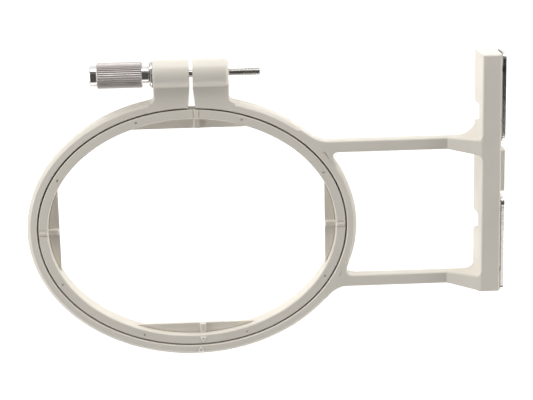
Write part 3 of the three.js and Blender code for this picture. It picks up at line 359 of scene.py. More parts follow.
def straighten(piece):
    """Merges doubles and points the faces outwards."""
    edit_all(piece)
    bpy.ops.mesh.remove_doubles(threshold=MERGE)
    bpy.ops.mesh.normals_make_consistent(inside=False)
    return leave(piece)


def block(name, low, high):
    """A block between two corners."""
    deselect()
    low, high = Vector(low), Vector(high)
    middle = (low + high) / 2
    bpy.ops.mesh.primitive_cube_add(size=1.0, location=middle)
    piece = named(name)
    edit(piece)
    bpy.ops.transform.resize(value=high - low, center_override=middle)
    return settle(leave(piece))


def disc(name, vertices, radius=MM, place=(0, 0, 0)):
    """A flat face with this many corners, from which a piece is pushed up."""
    deselect()
    bpy.ops.mesh.primitive_circle_add(vertices=vertices, radius=radius, fill_type="NGON", location=place)
    return named(name)


def plate(name, outline, low, high, axis=2):
    """A flat piece: its outline lies across the axis and is pushed from low to high along it."""
    piece = disc(name, len(outline))
    for vertex, point in zip(piece.data.vertices, outline):
        place = list(point)
        place.insert(axis, low)
        vertex.co = place
    move = Vector((0, 0, 0))
    move[axis] = high - low
    edit_all(piece)
    extrude(move)
    return straighten(leave(piece))


def lofted(name, layers):
    """A piece skinned over layers that have the same number of points, closed at both ends."""
    piece = disc(name, len(layers[0]))
    for vertex, point in zip(piece.data.vertices, layers[0]):
        vertex.co = point
    edit_all(piece)
    for before, layer in zip(layers, layers[1:]):
        bpy.ops.mesh.extrude_region_move()
        shape = bmesh.from_edit_mesh(piece.data)
        for vertex in shape.verts:
            if vertex.select:
                here = min(range(len(before)), key=lambda i: (vertex.co - before[i]).length_squared)
                vertex.co = layer[here]
        bmesh.update_edit_mesh(piece.data)
    return straighten(leave(piece))


def arc(u, v, radius, start, end, steps):
    angles = [math.radians(start + (end - start) * i / steps) for i in range(steps + 1)]
    return [(u + radius * math.cos(angle), v + radius * math.sin(angle)) for angle in angles]


def half_at(offset):
    """Half length and half width of the oval at an offset from where the rings meet."""
    return rings().half_length + offset, rings().half_width + offset


def oval(name, offset, low, high, flare=0.0):
    """A solid oval disc; flare widens its upper face."""
    half = Vector(half_at(offset))
    piece = disc(name, OVAL_STEPS, 1.0, at(0, 0, low))
    edit_all(piece)
    bpy.ops.transform.resize(value=(half.x, half.y, 1), center_override=at(0, 0, low))
    grow = (1 + flare / half.x, 1 + flare / half.y, 1)
    extrude((0, 0, high - low), grow if flare else None, at(0, 0, high))
    return straighten(settle(leave(piece)))


def turned(name, profile, place, axis=0, vertices=32):
    """A turned piece: profile lists (radius, length) pairs, and length runs along the axis from place."""
    piece = disc(name, vertices, profile[0][0])
    edit_all(piece)
    for (radius, run), (before, start) in zip(profile[1:], profile):
        share = radius / before
        extrude((0, 0, run - start), (share, share, 1), (0, 0, run))
    straighten(leave(piece))
    turn = {0: (0, math.pi / 2, 0), 1: (-math.pi / 2, 0, 0), 2: (0, 0, 0)}[axis]
    piece.rotation_euler = Euler(turn)
    piece.location = place
    return settle(piece)


def rod(name, radius, run, place, axis=0, vertices=32):
    """A plain round bar, or the cutter for a bore."""
    return turned(name, [(radius, 0.0), (radius, run)], place, axis, vertices)


def combine(piece, others, operation="UNION"):
    """Joins other pieces to this one or cuts them from it, and removes them."""
    for other in others:
        size = piece.dimensions.length
        apply(piece, "BOOLEAN", operation=operation, solver="EXACT", object=other)
        bpy.context.view_layer.update()
        shrunk = operation == "UNION" and piece.dimensions.length < size - MM
        if not piece.data.vertices or shrunk:
            raise RuntimeError(f"{piece.name} was lost in a {operation} with {other.name}")
        bpy.data.meshes.remove(other.data)
    return piece


def cut(piece, others):
    return combine(piece, others, "DIFFERENCE")


def slice_across(piece, axis, place):
    """Adds edges where a plane across the axis meets the piece, so that long faces end there."""
    edit_all(piece)
    spot, way = Vector((0, 0, 0)), Vector((0, 0, 0))
    spot[axis], way[axis] = place, 1.0
    bpy.ops.mesh.bisect(plane_co=spot, plane_no=way)
    leave(piece)


def smooth(piece, angle=35, slices=()):
    """Takes out slivers the cuts left, then shades curved stretches smooth and flat ones flat."""
    edit_all(piece)
    bpy.ops.mesh.dissolve_degenerate(threshold=0.001 * MM)
    bpy.ops.mesh.dissolve_limited(angle_limit=math.radians(0.7))
    leave(piece)
    for axis, place in slices:
        slice_across(piece, axis, place)
    take(piece)
    bpy.ops.object.shade_smooth_by_angle(angle=math.radians(angle))
    apply(piece, "WEIGHTED_NORMAL", keep_sharp=True)
    return piece


def install(piece, body, node, material):
    """Puts a finished piece on its body in place of its CAD node."""
    settle(piece)
    piece.data.materials.clear()
    piece.data.materials.append(bpy.data.materials[material])
    for face in piece.data.polygons:
        face.material_index = 0
    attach(piece, body)
    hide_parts(node)
    return piece


def paint(piece, material, test):
    """Gives the faces that pass the test another finish."""
    piece.data.materials.append(bpy.data.materials[material])
    for face in piece.data.polygons:
        if test(face.center):
            face.material_index = len(piece.data.materials) - 1


def on_arrow(place):
    """True for a place on the raised arrow of a ring's face."""
    raised = place.z > RING_TOP + 0.01 * MM
    return raised and abs(place.x - OVAL_X) < 8 * MM and place.y < OVAL_Y - 40 * MM


# Finishes


def add_node(tree, kind, inputs=None, **settings):
    """A node with its settings; inputs maps a socket to its value or to the output that feeds it."""
    node = tree.nodes.new(f"ShaderNode{kind}")
    for key, value in settings.items():
        setattr(node, key, value)
    feed(tree, node, inputs or {})
    return node


def feed(tree, node, inputs):
    for key, value in inputs.items():
        if isinstance(value, bpy.types.NodeSocket):
            tree.links.new(value, node.inputs[key])
        else:
            node.inputs[key].default_value = value


def socket_group(name, inputs, outputs):
    """A shader node group: inputs maps each socket to its default, and Normal is a vector."""
    group = bpy.data.node_groups.new(name, "ShaderNodeTree")
    for title, default in inputs.items():
        kind = "NodeSocketVector" if isinstance(default, tuple) else "NodeSocketFloat"
        group.interface.new_socket(title, in_out="INPUT", socket_type=kind).default_value = default
    for title in outputs:
        kind = "NodeSocketVector" if title == "Normal" else "NodeSocketFloat"
        group.interface.new_socket(title, in_out="OUTPUT", socket_type=kind)
    return group, group.nodes.new("NodeGroupInput").outputs, group.nodes.new("NodeGroupOutput")


def object_place(tree):
    return add_node(tree, "TexCoord").outputs["Object"]


def noise(tree, place, scale, detail):
    inputs = {"Vector": place, "Scale": scale, "Detail": detail}
    return add_node(tree, "TexNoise", inputs).outputs["Fac"]


def remap(tree, value, low, high, to_low=0.0, to_high=1.0, **settings):
    """The value's stretch from low to high, spread from to_low to to_high."""
    inputs = {"Value": value, "From Min": low, "From Max": high, "To Min": to_low, "To Max": to_high}
    return add_node(tree, "MapRange", inputs, **settings).outputs["Result"]


def reckon(tree, operation, *values, **settings):
    """The number that a Math node makes of the values."""
    return add_node(tree, "Math", dict(enumerate(values)), operation=operation, **settings).outputs[0]


def steer(tree, operation, *values):
    """The vector, or the number, that a Vector Math node makes of the values."""
    node = add_node(tree, "VectorMath", dict(enumerate(values)), operation=operation)
    return node.outputs["Value" if operation in ("LENGTH", "DOT_PRODUCT") else "Vector"]


def blended(tree, factor, first, second):
    """A colour between two colours."""
    inputs = {"Factor": factor, MIX_A: first, MIX_B: second}
    return add_node(tree, "Mix", inputs, data_type="RGBA").outputs[MIX_COLOUR]


def shade(base, share):
    """The base colour made darker or lighter."""
    return [min(1.0, channel * share) for channel in base] + [1.0]


def moulded_surface():
    """Fine spark-eroded grain, soft flow mottling and polished edges of a moulding."""
    inputs = {"Grain": 2600.0, "Mottle": 45.0, "Relief": 0.12}
    group, taken, given = socket_group("moulded_surface", inputs, ("Tone", "Roughness", "Edge", "Normal"))
    place = object_place(group)
    grain = noise(group, place, taken["Grain"], 3.0)
    mottle = noise(group, place, taken["Mottle"], 4.0)
    pointed = add_node(group, "NewGeometry").outputs["Pointiness"]
    bump = add_node(group, "Bump", {"Height": grain, "Strength": taken["Relief"], "Distance": 0.05 * MM})
    surface = {
        "Tone": remap(group, mottle, 0.3, 0.7),
        "Roughness": reckon(group, "MULTIPLY_ADD", grain, 0.12, 0.4),
        "Edge": remap(group, pointed, 0.51, 0.58),
        "Normal": bump.outputs["Normal"],
    }
    feed(group, given, surface)
    return group


def machined_surface():
    """Fine tool lines across the X axis, with a little handling haze, of turned or drawn metal."""
    inputs = {
        "Stretch": (1.0, 0.05, 0.05),
        "Lines": 9000.0,
        "Relief": 0.1,
        "Depth": 0.06 * MM,
        "Rough Low": 0.08,
        "Rough High": 0.2,
    }
    group, taken, given = socket_group("machined_surface", inputs, ("Tone", "Roughness", "Normal"))
    place = object_place(group)
    lines = noise(group, steer(group, "MULTIPLY", place, taken["Stretch"]), taken["Lines"], 2.0)
    haze = noise(group, place, 160.0, 3.0)
    rough = remap(group, haze, 0.35, 0.7, taken["Rough Low"], taken["Rough High"])
    bump = add_node(group, "Bump", {"Height": lines, "Strength": taken["Relief"], "Distance": taken["Depth"]})
    feed(group, given, {"Tone": haze, "Roughness": rough, "Normal": bump.outputs["Normal"]})
    return group


def new_material(name):
    if name in bpy.data.materials:
        raise RuntimeError(f"a material named {name} is there already")
    made = bpy.data.materials.new(name)
    made.use_nodes = True
    return made, made.node_tree, made.node_tree.nodes["Principled BSDF"]


def moulded_plastic(name, base, group, relief=0.12):
    _, tree, shader = new_material(name)
    surface = add_node(tree, "Group", node_tree=group)
    surface.inputs["Relief"].default_value = relief
    made = surface.outputs
    body = blended(tree, made["Tone"], shade(base, 0.97), shade(base, 1.02))
    look = {
        "Base Color": blended(tree, made["Edge"], body, shade(base, 1.06)),
        "Roughness": made["Roughness"],
        "Normal": made["Normal"],
        "IOR": 1.47,
        "Specular IOR Level": 0.4,
        "Coat Weight": 0.3,
        "Coat Roughness": 0.3,
    }
    feed(tree, shader, look)


def machined_metal(name, base, group, rough, relief, stretch=(1.0, 0.05, 0.05), depth=0.06 * MM):
    _, tree, shader = new_material(name)
    surface = add_node(tree, "Group", node_tree=group)
    feed(tree, surface, {"Relief": relief, "Stretch": stretch, "Depth": depth})
    feed(tree, surface, {"Rough Low": rough[0], "Rough High": rough[1]})
    made = surface.outputs
    look = {
        "Metallic": 1.0,
        "Base Color": blended(tree, made["Tone"], shade(base, 0.93), shade(base, 1.05)),
        "Roughness": made["Roughness"],
        "Normal": made["Normal"],
    }
    feed(tree, shader, look)


class HOOP_OT_finishes(bpy.types.Operator):
    """Mix the plastics and metals of the hoop"""

    bl_idname = "hoop.finishes"
    bl_label = "Finishes"

    def execute(self, context):
        colours = context.scene.hoop_finishes
        moulded = moulded_surface()
        machined = machined_surface()
        moulded_plastic("frame_moulded", colours.frame, moulded)
        moulded_plastic("hoop_moulded", colours.hoop, moulded)
        moulded_plastic("stop_moulded", colours.stop, moulded, 0.2)
        # The raised arrows' painted highlight.
        moulded_plastic("painted_arrow_highlight", colours.mark, moulded, 0.05)
        hammered, rolled = (0.14, 0.14, 0.2), (0.05, 1.0, 0.05)
        machined_metal("polished_plate", colours.plate, machined, (0.05, 0.14), 0.02)
        # The knurled barrel's plating, darkened as painted shade.
        machined_metal("knurled_plate_painted_shade", colours.knurl, machined, (0.5, 0.64), 0.1)
        machined_metal("pressed_plate", colours.plate, machined, (0.06, 0.16), 1.0, hammered, 0.09 * MM)
        machined_metal("turned_steel", colours.steel, machined, (0.18, 0.32), 0.05)
        machined_metal("drawn_wire", colours.steel, machined, (0.2, 0.34), 0.04)
        machined_metal("rolled_steel", colours.steel, machined, (0.22, 0.36), 0.04, rolled)
        machined_metal("turned_brass", colours.brass, machined, (0.2, 0.34), 0.05)
        return {"FINISHED"}


# Outer frame


def frame_half():
    """Half length and half width of the outer ring's outside."""
    return half_at(rings().play / 2 + rings().outer_width)


def ring_x(y, half):
    return half[0] * math.sqrt(1 - (y / half[1]) ** 2)


def ring_y(x, half):
    return half[1] * math.sqrt(1 - (x / half[0]) ** 2)


def lug(side):
    """The barrel and the flat web of one lug: side is -1 left of the slit and 1 right of it."""
    sizes = clamp()
    near_x = sizes.slit_x + side * sizes.slit_width / 2
    far_x = near_x + side * sizes.lug_width
    low_x, high_x = sorted((near_x, far_x))
    place = (OVAL_X + low_x, SCREW_Y, SCREW_Z)
    barrel = rod("barrel", sizes.barrel_radius, high_x - low_x, place, vertices=72)
    bevel(barrel, sizes.lug_round if side > 0 else sizes.left_round, 5, rim(0, OVAL_X + far_x))
    bevel(barrel, SOFT, 2, rim(0, OVAL_X + near_x))
    fillet, web_round = sizes.lug_fillet, 0.9 * MM
    root = ring_y(far_x, frame_half()) - 0.5 * MM
    foot = root - 12 * MM
    corner = arc(far_x + side * fillet, root + fillet, fillet, 270, 360 if side < 0 else 180, 8)
    outline = [(near_x, foot), (near_x, SCREW_OUT), (far_x, SCREW_OUT)]
    outline += corner[::-1] + [(far_x + side * fillet, foot)]
    web = plate("web", moved(outline), 0.0, RING_TOP)
    wall_x, root_y, slack = OVAL_X + far_x, OVAL_Y + root, 0.01 * MM

    def on_outer_side(edge):
        ends = [vertex.co for vertex in edge.verts]
        outer = all(side * (end.x - wall_x) > -slack and end.y > root_y - slack for end in ends)
        return outer and level(edge, 2, RING_TOP) and not level(edge, 1, SCREW_Y)

    bevel(web, web_round, 4, on_outer_side)
    return [barrel, web]


def slit():
    """Cutter for the slit, parallel between the barrels and wider where it opens inside the ring."""
    sizes = clamp()
    half, mouth, radius = sizes.slit_width / 2, sizes.slit_mouth / 2, sizes.barrel_radius
    root = rings().half_width - 2 * MM
    right = [(mouth, root), (half, SCREW_OUT - radius), (half, SCREW_OUT + radius + JOIN)]
    outline = right + [(-x, y) for x, y in reversed(right)]
    return plate("slit", moved(outline, sizes.slit_x), -JOIN, SCREW_Z + radius + JOIN)


def nut_pocket():
    """Cutter for the pocket that holds the clamp nut, open below."""
    low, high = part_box("clamp_nut")
    room = Vector((0.2, 0.2, 0.2)) * MM
    return block("nut_pocket", (low.x - room.x, low.y - room.y, -JOIN), high + room)


def arrow_mark(x, y, point):
    """A small raised triangle in outline: point is 1 where it points up and -1 where it points down."""
    tip, half, line = 2.9 * MM, 1.75 * MM, rings().ridge
    outer = [(x - half, y), (x + half, y), (x, y + point * tip)]
    middle = y + point * tip / 3
    shrink = 1 - 3 * line / tip
    inner = [(x + (u - x) * shrink, middle + (v - middle) * shrink) for u, v in outer]
    high = RING_TOP + rings().ridge_height
    mark = plate("arrow_mark", moved(outer), RING_TOP - JOIN, high)
    cut(mark, [plate("island", moved(inner), RING_TOP - 2 * JOIN, RING_TOP + JOIN)])
    return bevel(mark, 0.42 * line, 1, rim(2, high))


def arm_middle(name):
    return connector().upper_arm if name == "upper" else -connector().lower_arm


def arm_root(name):
    """Fillet above an arm's ramp where it meets the channel."""
    return connector().upper_root if name == "upper" else connector().lower_root


def ramp_start():
    return connector().foot_x + connector().draft - connector().ramp_length


def arm_core(name):
    """Cutter for the pocket in an arm's underside."""
    sizes = connector()
    middle, half = arm_middle(name), sizes.core_width / 2
    foot = RING_TOP - sizes.arm_height
    low = at(ring_x(middle, frame_half()) + sizes.core_width, middle - half, foot - JOIN)
    core = block("arm_core", low, at(ramp_start(), middle + half, foot + sizes.core_depth))
    return bevel(core, CORNER, 3, runs(2))


def ring_fillet(name, side):
    """A rounded inner corner where an arm meets the ring: side is 1 above the arm and -1 below it."""
    sizes, half = connector(), frame_half()
    reach = sizes.ring_fillet
    edge_y = arm_middle(name) + side * sizes.arm_width / 2
    corner = Vector((ring_x(edge_y, half) - SINK, edge_y - side * SINK))
    on_ring = Vector((ring_x(edge_y + side * reach, half) - SINK, edge_y + side * reach))
    on_arm = Vector((corner.x + reach, edge_y - side * SINK))
    shares = [i / 10 for i in range(11)]
    curve = [on_arm * (1 - t) ** 2 + corner * 2 * t * (1 - t) + on_ring * t**2 for t in shares]
    depth = 2.2 * sizes.arm_round
    outline = [(on_arm.x, on_arm.y - side * depth)] + [tuple(point) for point in curve]
    outline += [(on_ring.x - depth, on_ring.y), (corner.x - depth, edge_y - side * depth)]
    piece = plate("ring_fillet", moved(outline), RING_TOP - sizes.arm_height, RING_TOP)
    marks = [Vector(point) for point in moved([tuple(point) for point in curve])]

    def on_curve(edge):
        gaps = [min((vertex.co.xy - mark).length for mark in marks) for vertex in edge.verts]
        return level(edge, 2, RING_TOP) and max(gaps) < 0.01 * MM

    return bevel(piece, sizes.arm_round, 5, on_curve)


def arm_plan(name, inset, wall, below, above):
    """Outline of an arm and its ramp at one height: it spreads into the channel's wall with two fillets."""
    sizes, start = connector(), ramp_start()
    low = arm_middle(name) - sizes.arm_width / 2 + inset
    high = arm_middle(name) + sizes.arm_width / 2 - inset
    inside_ring = 0.7 * rings().half_length
    foot = low - sizes.ramp_flare
    points = [(inside_ring, low), (start, low)]
    points += arc(wall - below, foot - below, below, 90, 0, 8)
    points += [(wall + JOIN, foot - below), (wall + JOIN, high + above)]
    points += arc(wall - above, high + above, above, 360, 270, 8)
    return points + [(start, high), (inside_ring, high)]


def arm(name):
    """An arm with rounded edges that climbs a ramp to the connector's top."""
    sizes, start = connector(), ramp_start()
    rise = (FRAME_TOP - RING_TOP) / sizes.ramp_length
    rounding = [(1 - math.cos(turn), 1 - math.sin(turn)) for turn in QUARTER]
    foot_z = RING_TOP - sizes.arm_height
    foot_wall = sizes.foot_x + sizes.draft * foot_z / FRAME_TOP + 2 * SINK
    top_wall = sizes.foot_x + sizes.draft + 2 * SINK
    layers = []
    for inset, drop in reversed(rounding):
        plan = arm_plan(name, inset * sizes.arm_round, foot_wall, sizes.under_root, arm_root(name))
        layers.append([at(x, y, foot_z + drop * sizes.arm_round) for x, y in plan])
    for inset, drop in rounding:
        plan = arm_plan(name, inset * sizes.arm_round, top_wall, sizes.ramp_fillet, sizes.ramp_fillet)
        height = RING_TOP - drop * sizes.arm_round
        layers.append([at(x, y, height + rise * max(0.0, x - start)) for x, y in plan])
    piece = lofted("arm", layers)
    slice_across(piece, 0, OVAL_X + start)
    room_low = at(0.3 * sizes.foot_x, 0.3 * MM - sizes.foot_y, 0.0)
    room_high = at(sizes.foot_x + sizes.wall, sizes.top_y, FRAME_TOP - SINK)
    return combine(piece, [block("room", room_low, room_high)], "INTERSECT")


def channel():
    """The connector's channel, with a leaning inner wall and rounded along the top and both ends."""
    sizes = connector()
    left, right = OVAL_X + sizes.foot_x, OVAL_X + sizes.foot_x + sizes.width
    foot, top = OVAL_Y - sizes.foot_y, OVAL_Y + sizes.top_y
    turn, corner = sizes.rounding, sizes.outer_rounding
    section = [(left, 0.0), (right, 0.0)]
    section += arc(right - corner, FRAME_TOP - corner, corner, 0, 90, 4)
    section += arc(left + sizes.draft + turn, FRAME_TOP - turn, turn, 90, 178, 7)
    side = [(foot, 0.0), (top, 0.0)]
    side += arc(top - turn, FRAME_TOP - turn, turn, 0, 90, 7)
    side += arc(foot + turn, FRAME_TOP - turn, turn, 90, 180, 7)
    bar = plate("channel", section, foot - JOIN, top + JOIN, 1)
    return combine(bar, [plate("ends", side, left - JOIN, right + JOIN, 0)], "INTERSECT")


def channel_sides():
    """X of the channel's inner left face, inner right face and middle, in the row frame."""
    sizes = connector()
    left = OVAL_X + sizes.foot_x + sizes.draft + sizes.wall
    right = OVAL_X + sizes.foot_x + sizes.width - sizes.wall
    return left, right, (left + right) / 2


def through_wall():
    """Where a cutter through the channel's outer wall starts and ends along X."""
    right = channel_sides()[1]
    return right - JOIN, right + connector().wall + JOIN


def channel_hollow():
    sizes = connector()
    left, right, _ = channel_sides()
    low = (left, OVAL_Y - sizes.foot_y + sizes.end_wall, -JOIN)
    high = (right, OVAL_Y + sizes.top_y - sizes.end_wall, FRAME_TOP - sizes.roof)
    return bevel(block("hollow", low, high), CORNER, 3, runs(2))


def wall_notch(y):
    """Cutter for a notch in the channel's inner wall, with one leaning side."""
    sizes = connector()
    wide, tall = sizes.notch_foot, sizes.notch_height
    outline = [(-wide, -JOIN), (0.0, -JOIN), (0.0, tall), (-sizes.notch_top, tall), (-wide, 0.0)]
    outline = [(OVAL_Y + (y + v), w) for v, w in outline]
    low = OVAL_X + sizes.foot_x - JOIN
    piece = plate("notch", outline, low, low + sizes.draft + sizes.wall + 2 * JOIN, 0)
    return bevel(piece, CORNER, 3, lambda edge: along(edge, 0) and edge.verts[0].co.z > tall / 2)


def wall_slots(side):
    """Cutters for the slots in the channel's outer wall that a clip's tab and rivet travel in."""
    sizes, turn = clips(), SIDES[side]
    play, (start, end) = sizes.play, through_wall()
    tab = latch_start(side) + turn * sizes.tab_place
    ends = sorted((tab - turn * (sizes.travel + play), tab + turn * (sizes.plate + play)))
    low, high = (start, ends[0], sizes.tab_low - play), (end, ends[1], sizes.tab_high + play)
    _, rivet_y, rivet_z = halfway(*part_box(f"{side}_grip_rivet"))
    outline = stadium(rivet_y, rivet_y - turn * sizes.travel, rivet_z, sizes.rivet_radius + play)
    return [block("tab_slot", low, high), plate("rivet_slot", outline, start, end, 0)]


def stop_window():
    """Cutter for the window in the channel's outer wall that the centre stop's block passes through."""
    play, (start, end) = clips().play / 2, through_wall()
    half = clips().stop_half + play
    low = (start, STOP_Y - half, BLOCK_FOOT - play)
    return block("stop_window", low, (end, STOP_Y + half, BLOCK_TOP + play))


def inner_post(y, foot, depth):
    """A screw post under the channel's roof, with its bore."""
    middle = channel_sides()[2]
    height = FRAME_TOP - connector().roof + 0.5 * MM - foot
    post = rod("post", connector().boss_radius, height, (middle, y, foot), 2)
    hole = clips().thread_radius + ROOM
    profile = [(hole + SOFT, 0.0), (hole, 0.35 * MM), (hole, depth + SINK)]
    return cut(post, [turned("hole", profile, (middle, y, foot - SINK), 2, 24)])


def frame_slices():
    """Planes beside the arms' and ramps' roots, as (axis, place) pairs."""
    half, spare = connector().arm_width / 2, 0.6 * MM
    slices = [(0, OVAL_X + ramp_start() - spare)]
    for name in SIDES:
        middle = OVAL_Y + arm_middle(name)
        slices.append((1, middle + half + arm_root(name) + spare))
        slices.append((1, middle - half - connector().under_root - spare))
    return slices


class HOOP_OT_outer_frame(bpy.types.Operator):
    """Model the outer frame: ring, lugs, arms, ramps and connector channel in one moulding"""

    bl_idname = "hoop.outer_frame"
    bl_label = "Outer Frame"

    def execute(self, context):
        ring, lugs, sizes, latch = rings(), clamp(), connector(), clips()
        inside = ring.play / 2
        piece = oval("frame_moulding", inside + ring.outer_width, 0.0, RING_TOP)
        bevel(piece, ring.outer_round, 5, rim(2, RING_TOP), 0.32)
        bevel(piece, ring.foot_chamfer, 1, rim(2, 0.0))
        combine(piece, lug(-1) + lug(1))
        for name in SIDES:
            combine(piece, [arm(name), ring_fillet(name, 1), ring_fillet(name, -1)])
        combine(piece, [channel()])
        flare_foot = RING_TOP - ring.chamfer
        opening = oval("opening", inside, -JOIN, flare_foot)
        flare = oval("flare", inside, flare_foot, RING_TOP + JOIN, ring.chamfer + JOIN)
        over, guide_bore = 3 * MM, 8.1 * MM
        bore_start = (OVAL_X + lugs.slit_x - lugs.lug_width - over, SCREW_Y, SCREW_Z)
        bore = rod("bore", lugs.shank_radius + ROOM, 2 * lugs.lug_width + 2 * over, bore_start)
        cut(piece, [combine(opening, [flare]), slit(), bore, nut_pocket()])
        cut(piece, [arm_core(name) for name in SIDES])
        notches = [wall_notch(sizes.upper_notch), wall_notch(sizes.lower_notch)]
        cut(piece, [channel_hollow(), stop_window()] + notches + wall_slots("upper") + wall_slots("lower"))
        boss_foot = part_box("upper_latch_plate")[0].z + latch.plate + latch.play
        for side in SIDES:
            guide_y = latch_start(side) + SIDES[side] * latch.guide_place
            combine(piece, [inner_post(guide_y, boss_foot, guide_bore)])
        foot = BLOCK_TOP + ROOM
        for step in (-0.5, 0.5):
            depth = FRAME_TOP - sizes.roof - foot - 2 * ROOM
            combine(piece, [inner_post(STOP_Y + step * latch.stop_spacing, foot, depth)])
        mark_x, mark_y = lugs.slit_x + 0.6 * MM, -ring_y(lugs.slit_x, frame_half()) + 1.5 * MM
        combine(piece, [arrow_mark(mark_x, mark_y, 1)])
        smooth(piece, slices=frame_slices())
        install(piece, "frame", "outer_frame", "frame_moulded")
        # Paints the raised arrow lighter, a painted highlight.
        paint(piece, "painted_arrow_highlight", on_arrow)
        return {"FINISHED"}


# Inner hoop


def hoop_half(rise=0.0):
    """Half length and half width of the inner hoop's inside."""
    return half_at(-rings().play / 2 - rings().inner_width + rise)


def hoop_ledge(low, high):
    """The four flat segments inside the ring that leave a rectangular opening, with a groove at the ring."""
    sizes = rings()
    inside = -sizes.play / 2 - sizes.inner_width
    upper_foot, upper_back = low + JOIN, 0.03 * MM
    layers = []
    for reach, foot, top, back in (
        (JOIN, low, high - sizes.groove, 0.0),
        (-sizes.groove, upper_foot, high, upper_back),
    ):
        edge_x, edge_y = sizes.field_x + back, sizes.field_y + back
        field = block("field", at(-edge_x, -edge_y, low - JOIN), at(edge_x, edge_y, high + JOIN))
        layers.append(cut(oval("ledge", inside + reach, foot, top), [field]))
    return layers


def hoop_ribs(top, foot):
    """The four centre ribs that stand on the ledge."""
    sizes = rings()
    half, reach = sizes.rib_width / 2, hoop_half(JOIN)
    low, high = (top + foot) / 2, top + sizes.rib_height
    across = ring_y(sizes.cross_x, reach)
    ribs = []
    for side in (1, -1):
        ends = sorted((side * (sizes.field_x + SINK), side * reach[0]))
        ribs.append(block("rib", at(ends[0], -half, low), at(ends[1], half, high)))
        ends = sorted((side * (sizes.field_y + SINK), side * across))
        near_corner = at(sizes.cross_x - half, ends[0], low)
        ribs.append(block("rib", near_corner, at(sizes.cross_x + half, ends[1], high)))
    return [bevel(rib, 0.75 * MM, 3, rim(2, high)) for rib in ribs]


def groove_outline(middle):
    """Section of a V-shaped line cut into the ring's face."""
    depth, high = rings().mark_depth, RING_TOP + JOIN
    wide = rings().mark_line / 2 * (1 + JOIN / depth)
    return [(middle, RING_TOP - depth), (middle + wide, high), (middle - wide, high)]


def hoop_marks():
    """Cutters for the centre lines and the eight dimples on the ring's face."""
    sizes = rings()
    inner, outer = hoop_half(-JOIN), hoop_half(sizes.inner_width + JOIN)
    cutters = []
    for offset in (-sizes.rib_width / 2, sizes.rib_width / 2):
        for side in (1, -1):
            ends = sorted((OVAL_X + side * inner[0], OVAL_X + side * outer[0]))
            cutters.append(plate("mark", groove_outline(OVAL_Y + offset), ends[0], ends[1], 0))
        start, end = (OVAL_Y + ring_y(sizes.cross_x, half) for half in (inner, outer))
        cutters.append(plate("mark", groove_outline(OVAL_X + sizes.cross_x + offset), start, end, 1))
    deep, dimple = 0.6 * MM, [(0.5 * MM, 0.0), (0.75 * MM, 0.9 * MM)]
    for x, y in DIMPLES:
        for left in (1, -1):
            for down in (1, -1):
                place = at(left * x * MM, down * y * MM, RING_TOP - deep)
                cutters.append(turned("dimple", dimple, place, 2, 16))
    return cutters


def raised_marks():
    """The raised arrow and the two raised bars between the centre lines of the ring's face."""
    sizes = rings()
    edge = ring_y(sizes.cross_x, hoop_half(sizes.inner_width))
    inset = 3.2 * MM
    marks = [arrow_mark(sizes.cross_x, -edge + sizes.chamfer + inset, -1)]
    high, middle = RING_TOP + sizes.ridge_height, hoop_half(sizes.inner_width / 2)[0]
    reach, half = 1.6 * MM, 0.6 * MM
    for side in (1, -1):
        x = side * middle
        bar = block("bar", at(x - reach, -half, RING_TOP - JOIN), at(x + reach, half, high))
        bevel(bar, half * 0.8, 4, runs(2))
        marks.append(bevel(bar, SOFT, 2, rim(2, high)))
    return marks


class HOOP_OT_inner_hoop(bpy.types.Operator):
    """Model the inner hoop with its ledge, centre ribs and sighting marks"""

    bl_idname = "hoop.inner_hoop"
    bl_label = "Inner Hoop"

    def execute(self, context):
        sizes, half = rings(), hoop_half()
        outside, rim_round = -sizes.play / 2, 0.4 * MM
        piece = oval("hoop_moulding", outside, 0.0, RING_TOP)
        bevel(piece, rim_round, 3, rim(2, RING_TOP))
        bevel(piece, sizes.foot_chamfer, 1, rim(2, 0.0))
        cut(piece, [oval("bore", outside - sizes.inner_width, -JOIN, RING_TOP + JOIN)])

        def on_inner_top(edge):
            places = [vertex.co for vertex in edge.verts]
            shares = [math.hypot((co.x - OVAL_X) / half[0], (co.y - OVAL_Y) / half[1]) for co in places]
            return level(edge, 2, RING_TOP) and max(shares) < 1.003

        bevel(piece, sizes.inner_round, 4, on_inner_top)
        ledge_top = RING_TOP - sizes.ledge_drop
        ledge_foot = ledge_top - sizes.ledge_thickness
        combine(piece, hoop_ledge(ledge_foot, ledge_top) + hoop_ribs(ledge_top, ledge_foot))
        cut(piece, hoop_marks())
        combine(piece, raised_marks())
        smooth(piece)
        install(piece, "hoop", "inner_hoop", "hoop_moulded")
        # Paints the raised arrow lighter, a painted highlight.
        paint(piece, "painted_arrow_highlight", on_arrow)
        return {"FINISHED"}


# Clamp screw


def wound(piece, pitch, turns, steps, **settings):
    """Winds a profile up round Z, closes both ends and lays nothing double."""
    apply(
        piece,
        "SCREW",
        axis="Z",
        screw_offset=pitch,
        iterations=turns,
        steps=steps,
        render_steps=steps,
        **settings,
    )
    edit_all(piece)
    bpy.ops.mesh.remove_doubles(threshold=MERGE)
    bpy.ops.mesh.select_all(action="SELECT")
    bpy.ops.mesh.fill_holes(sides=0)
    return straighten(leave(piece))


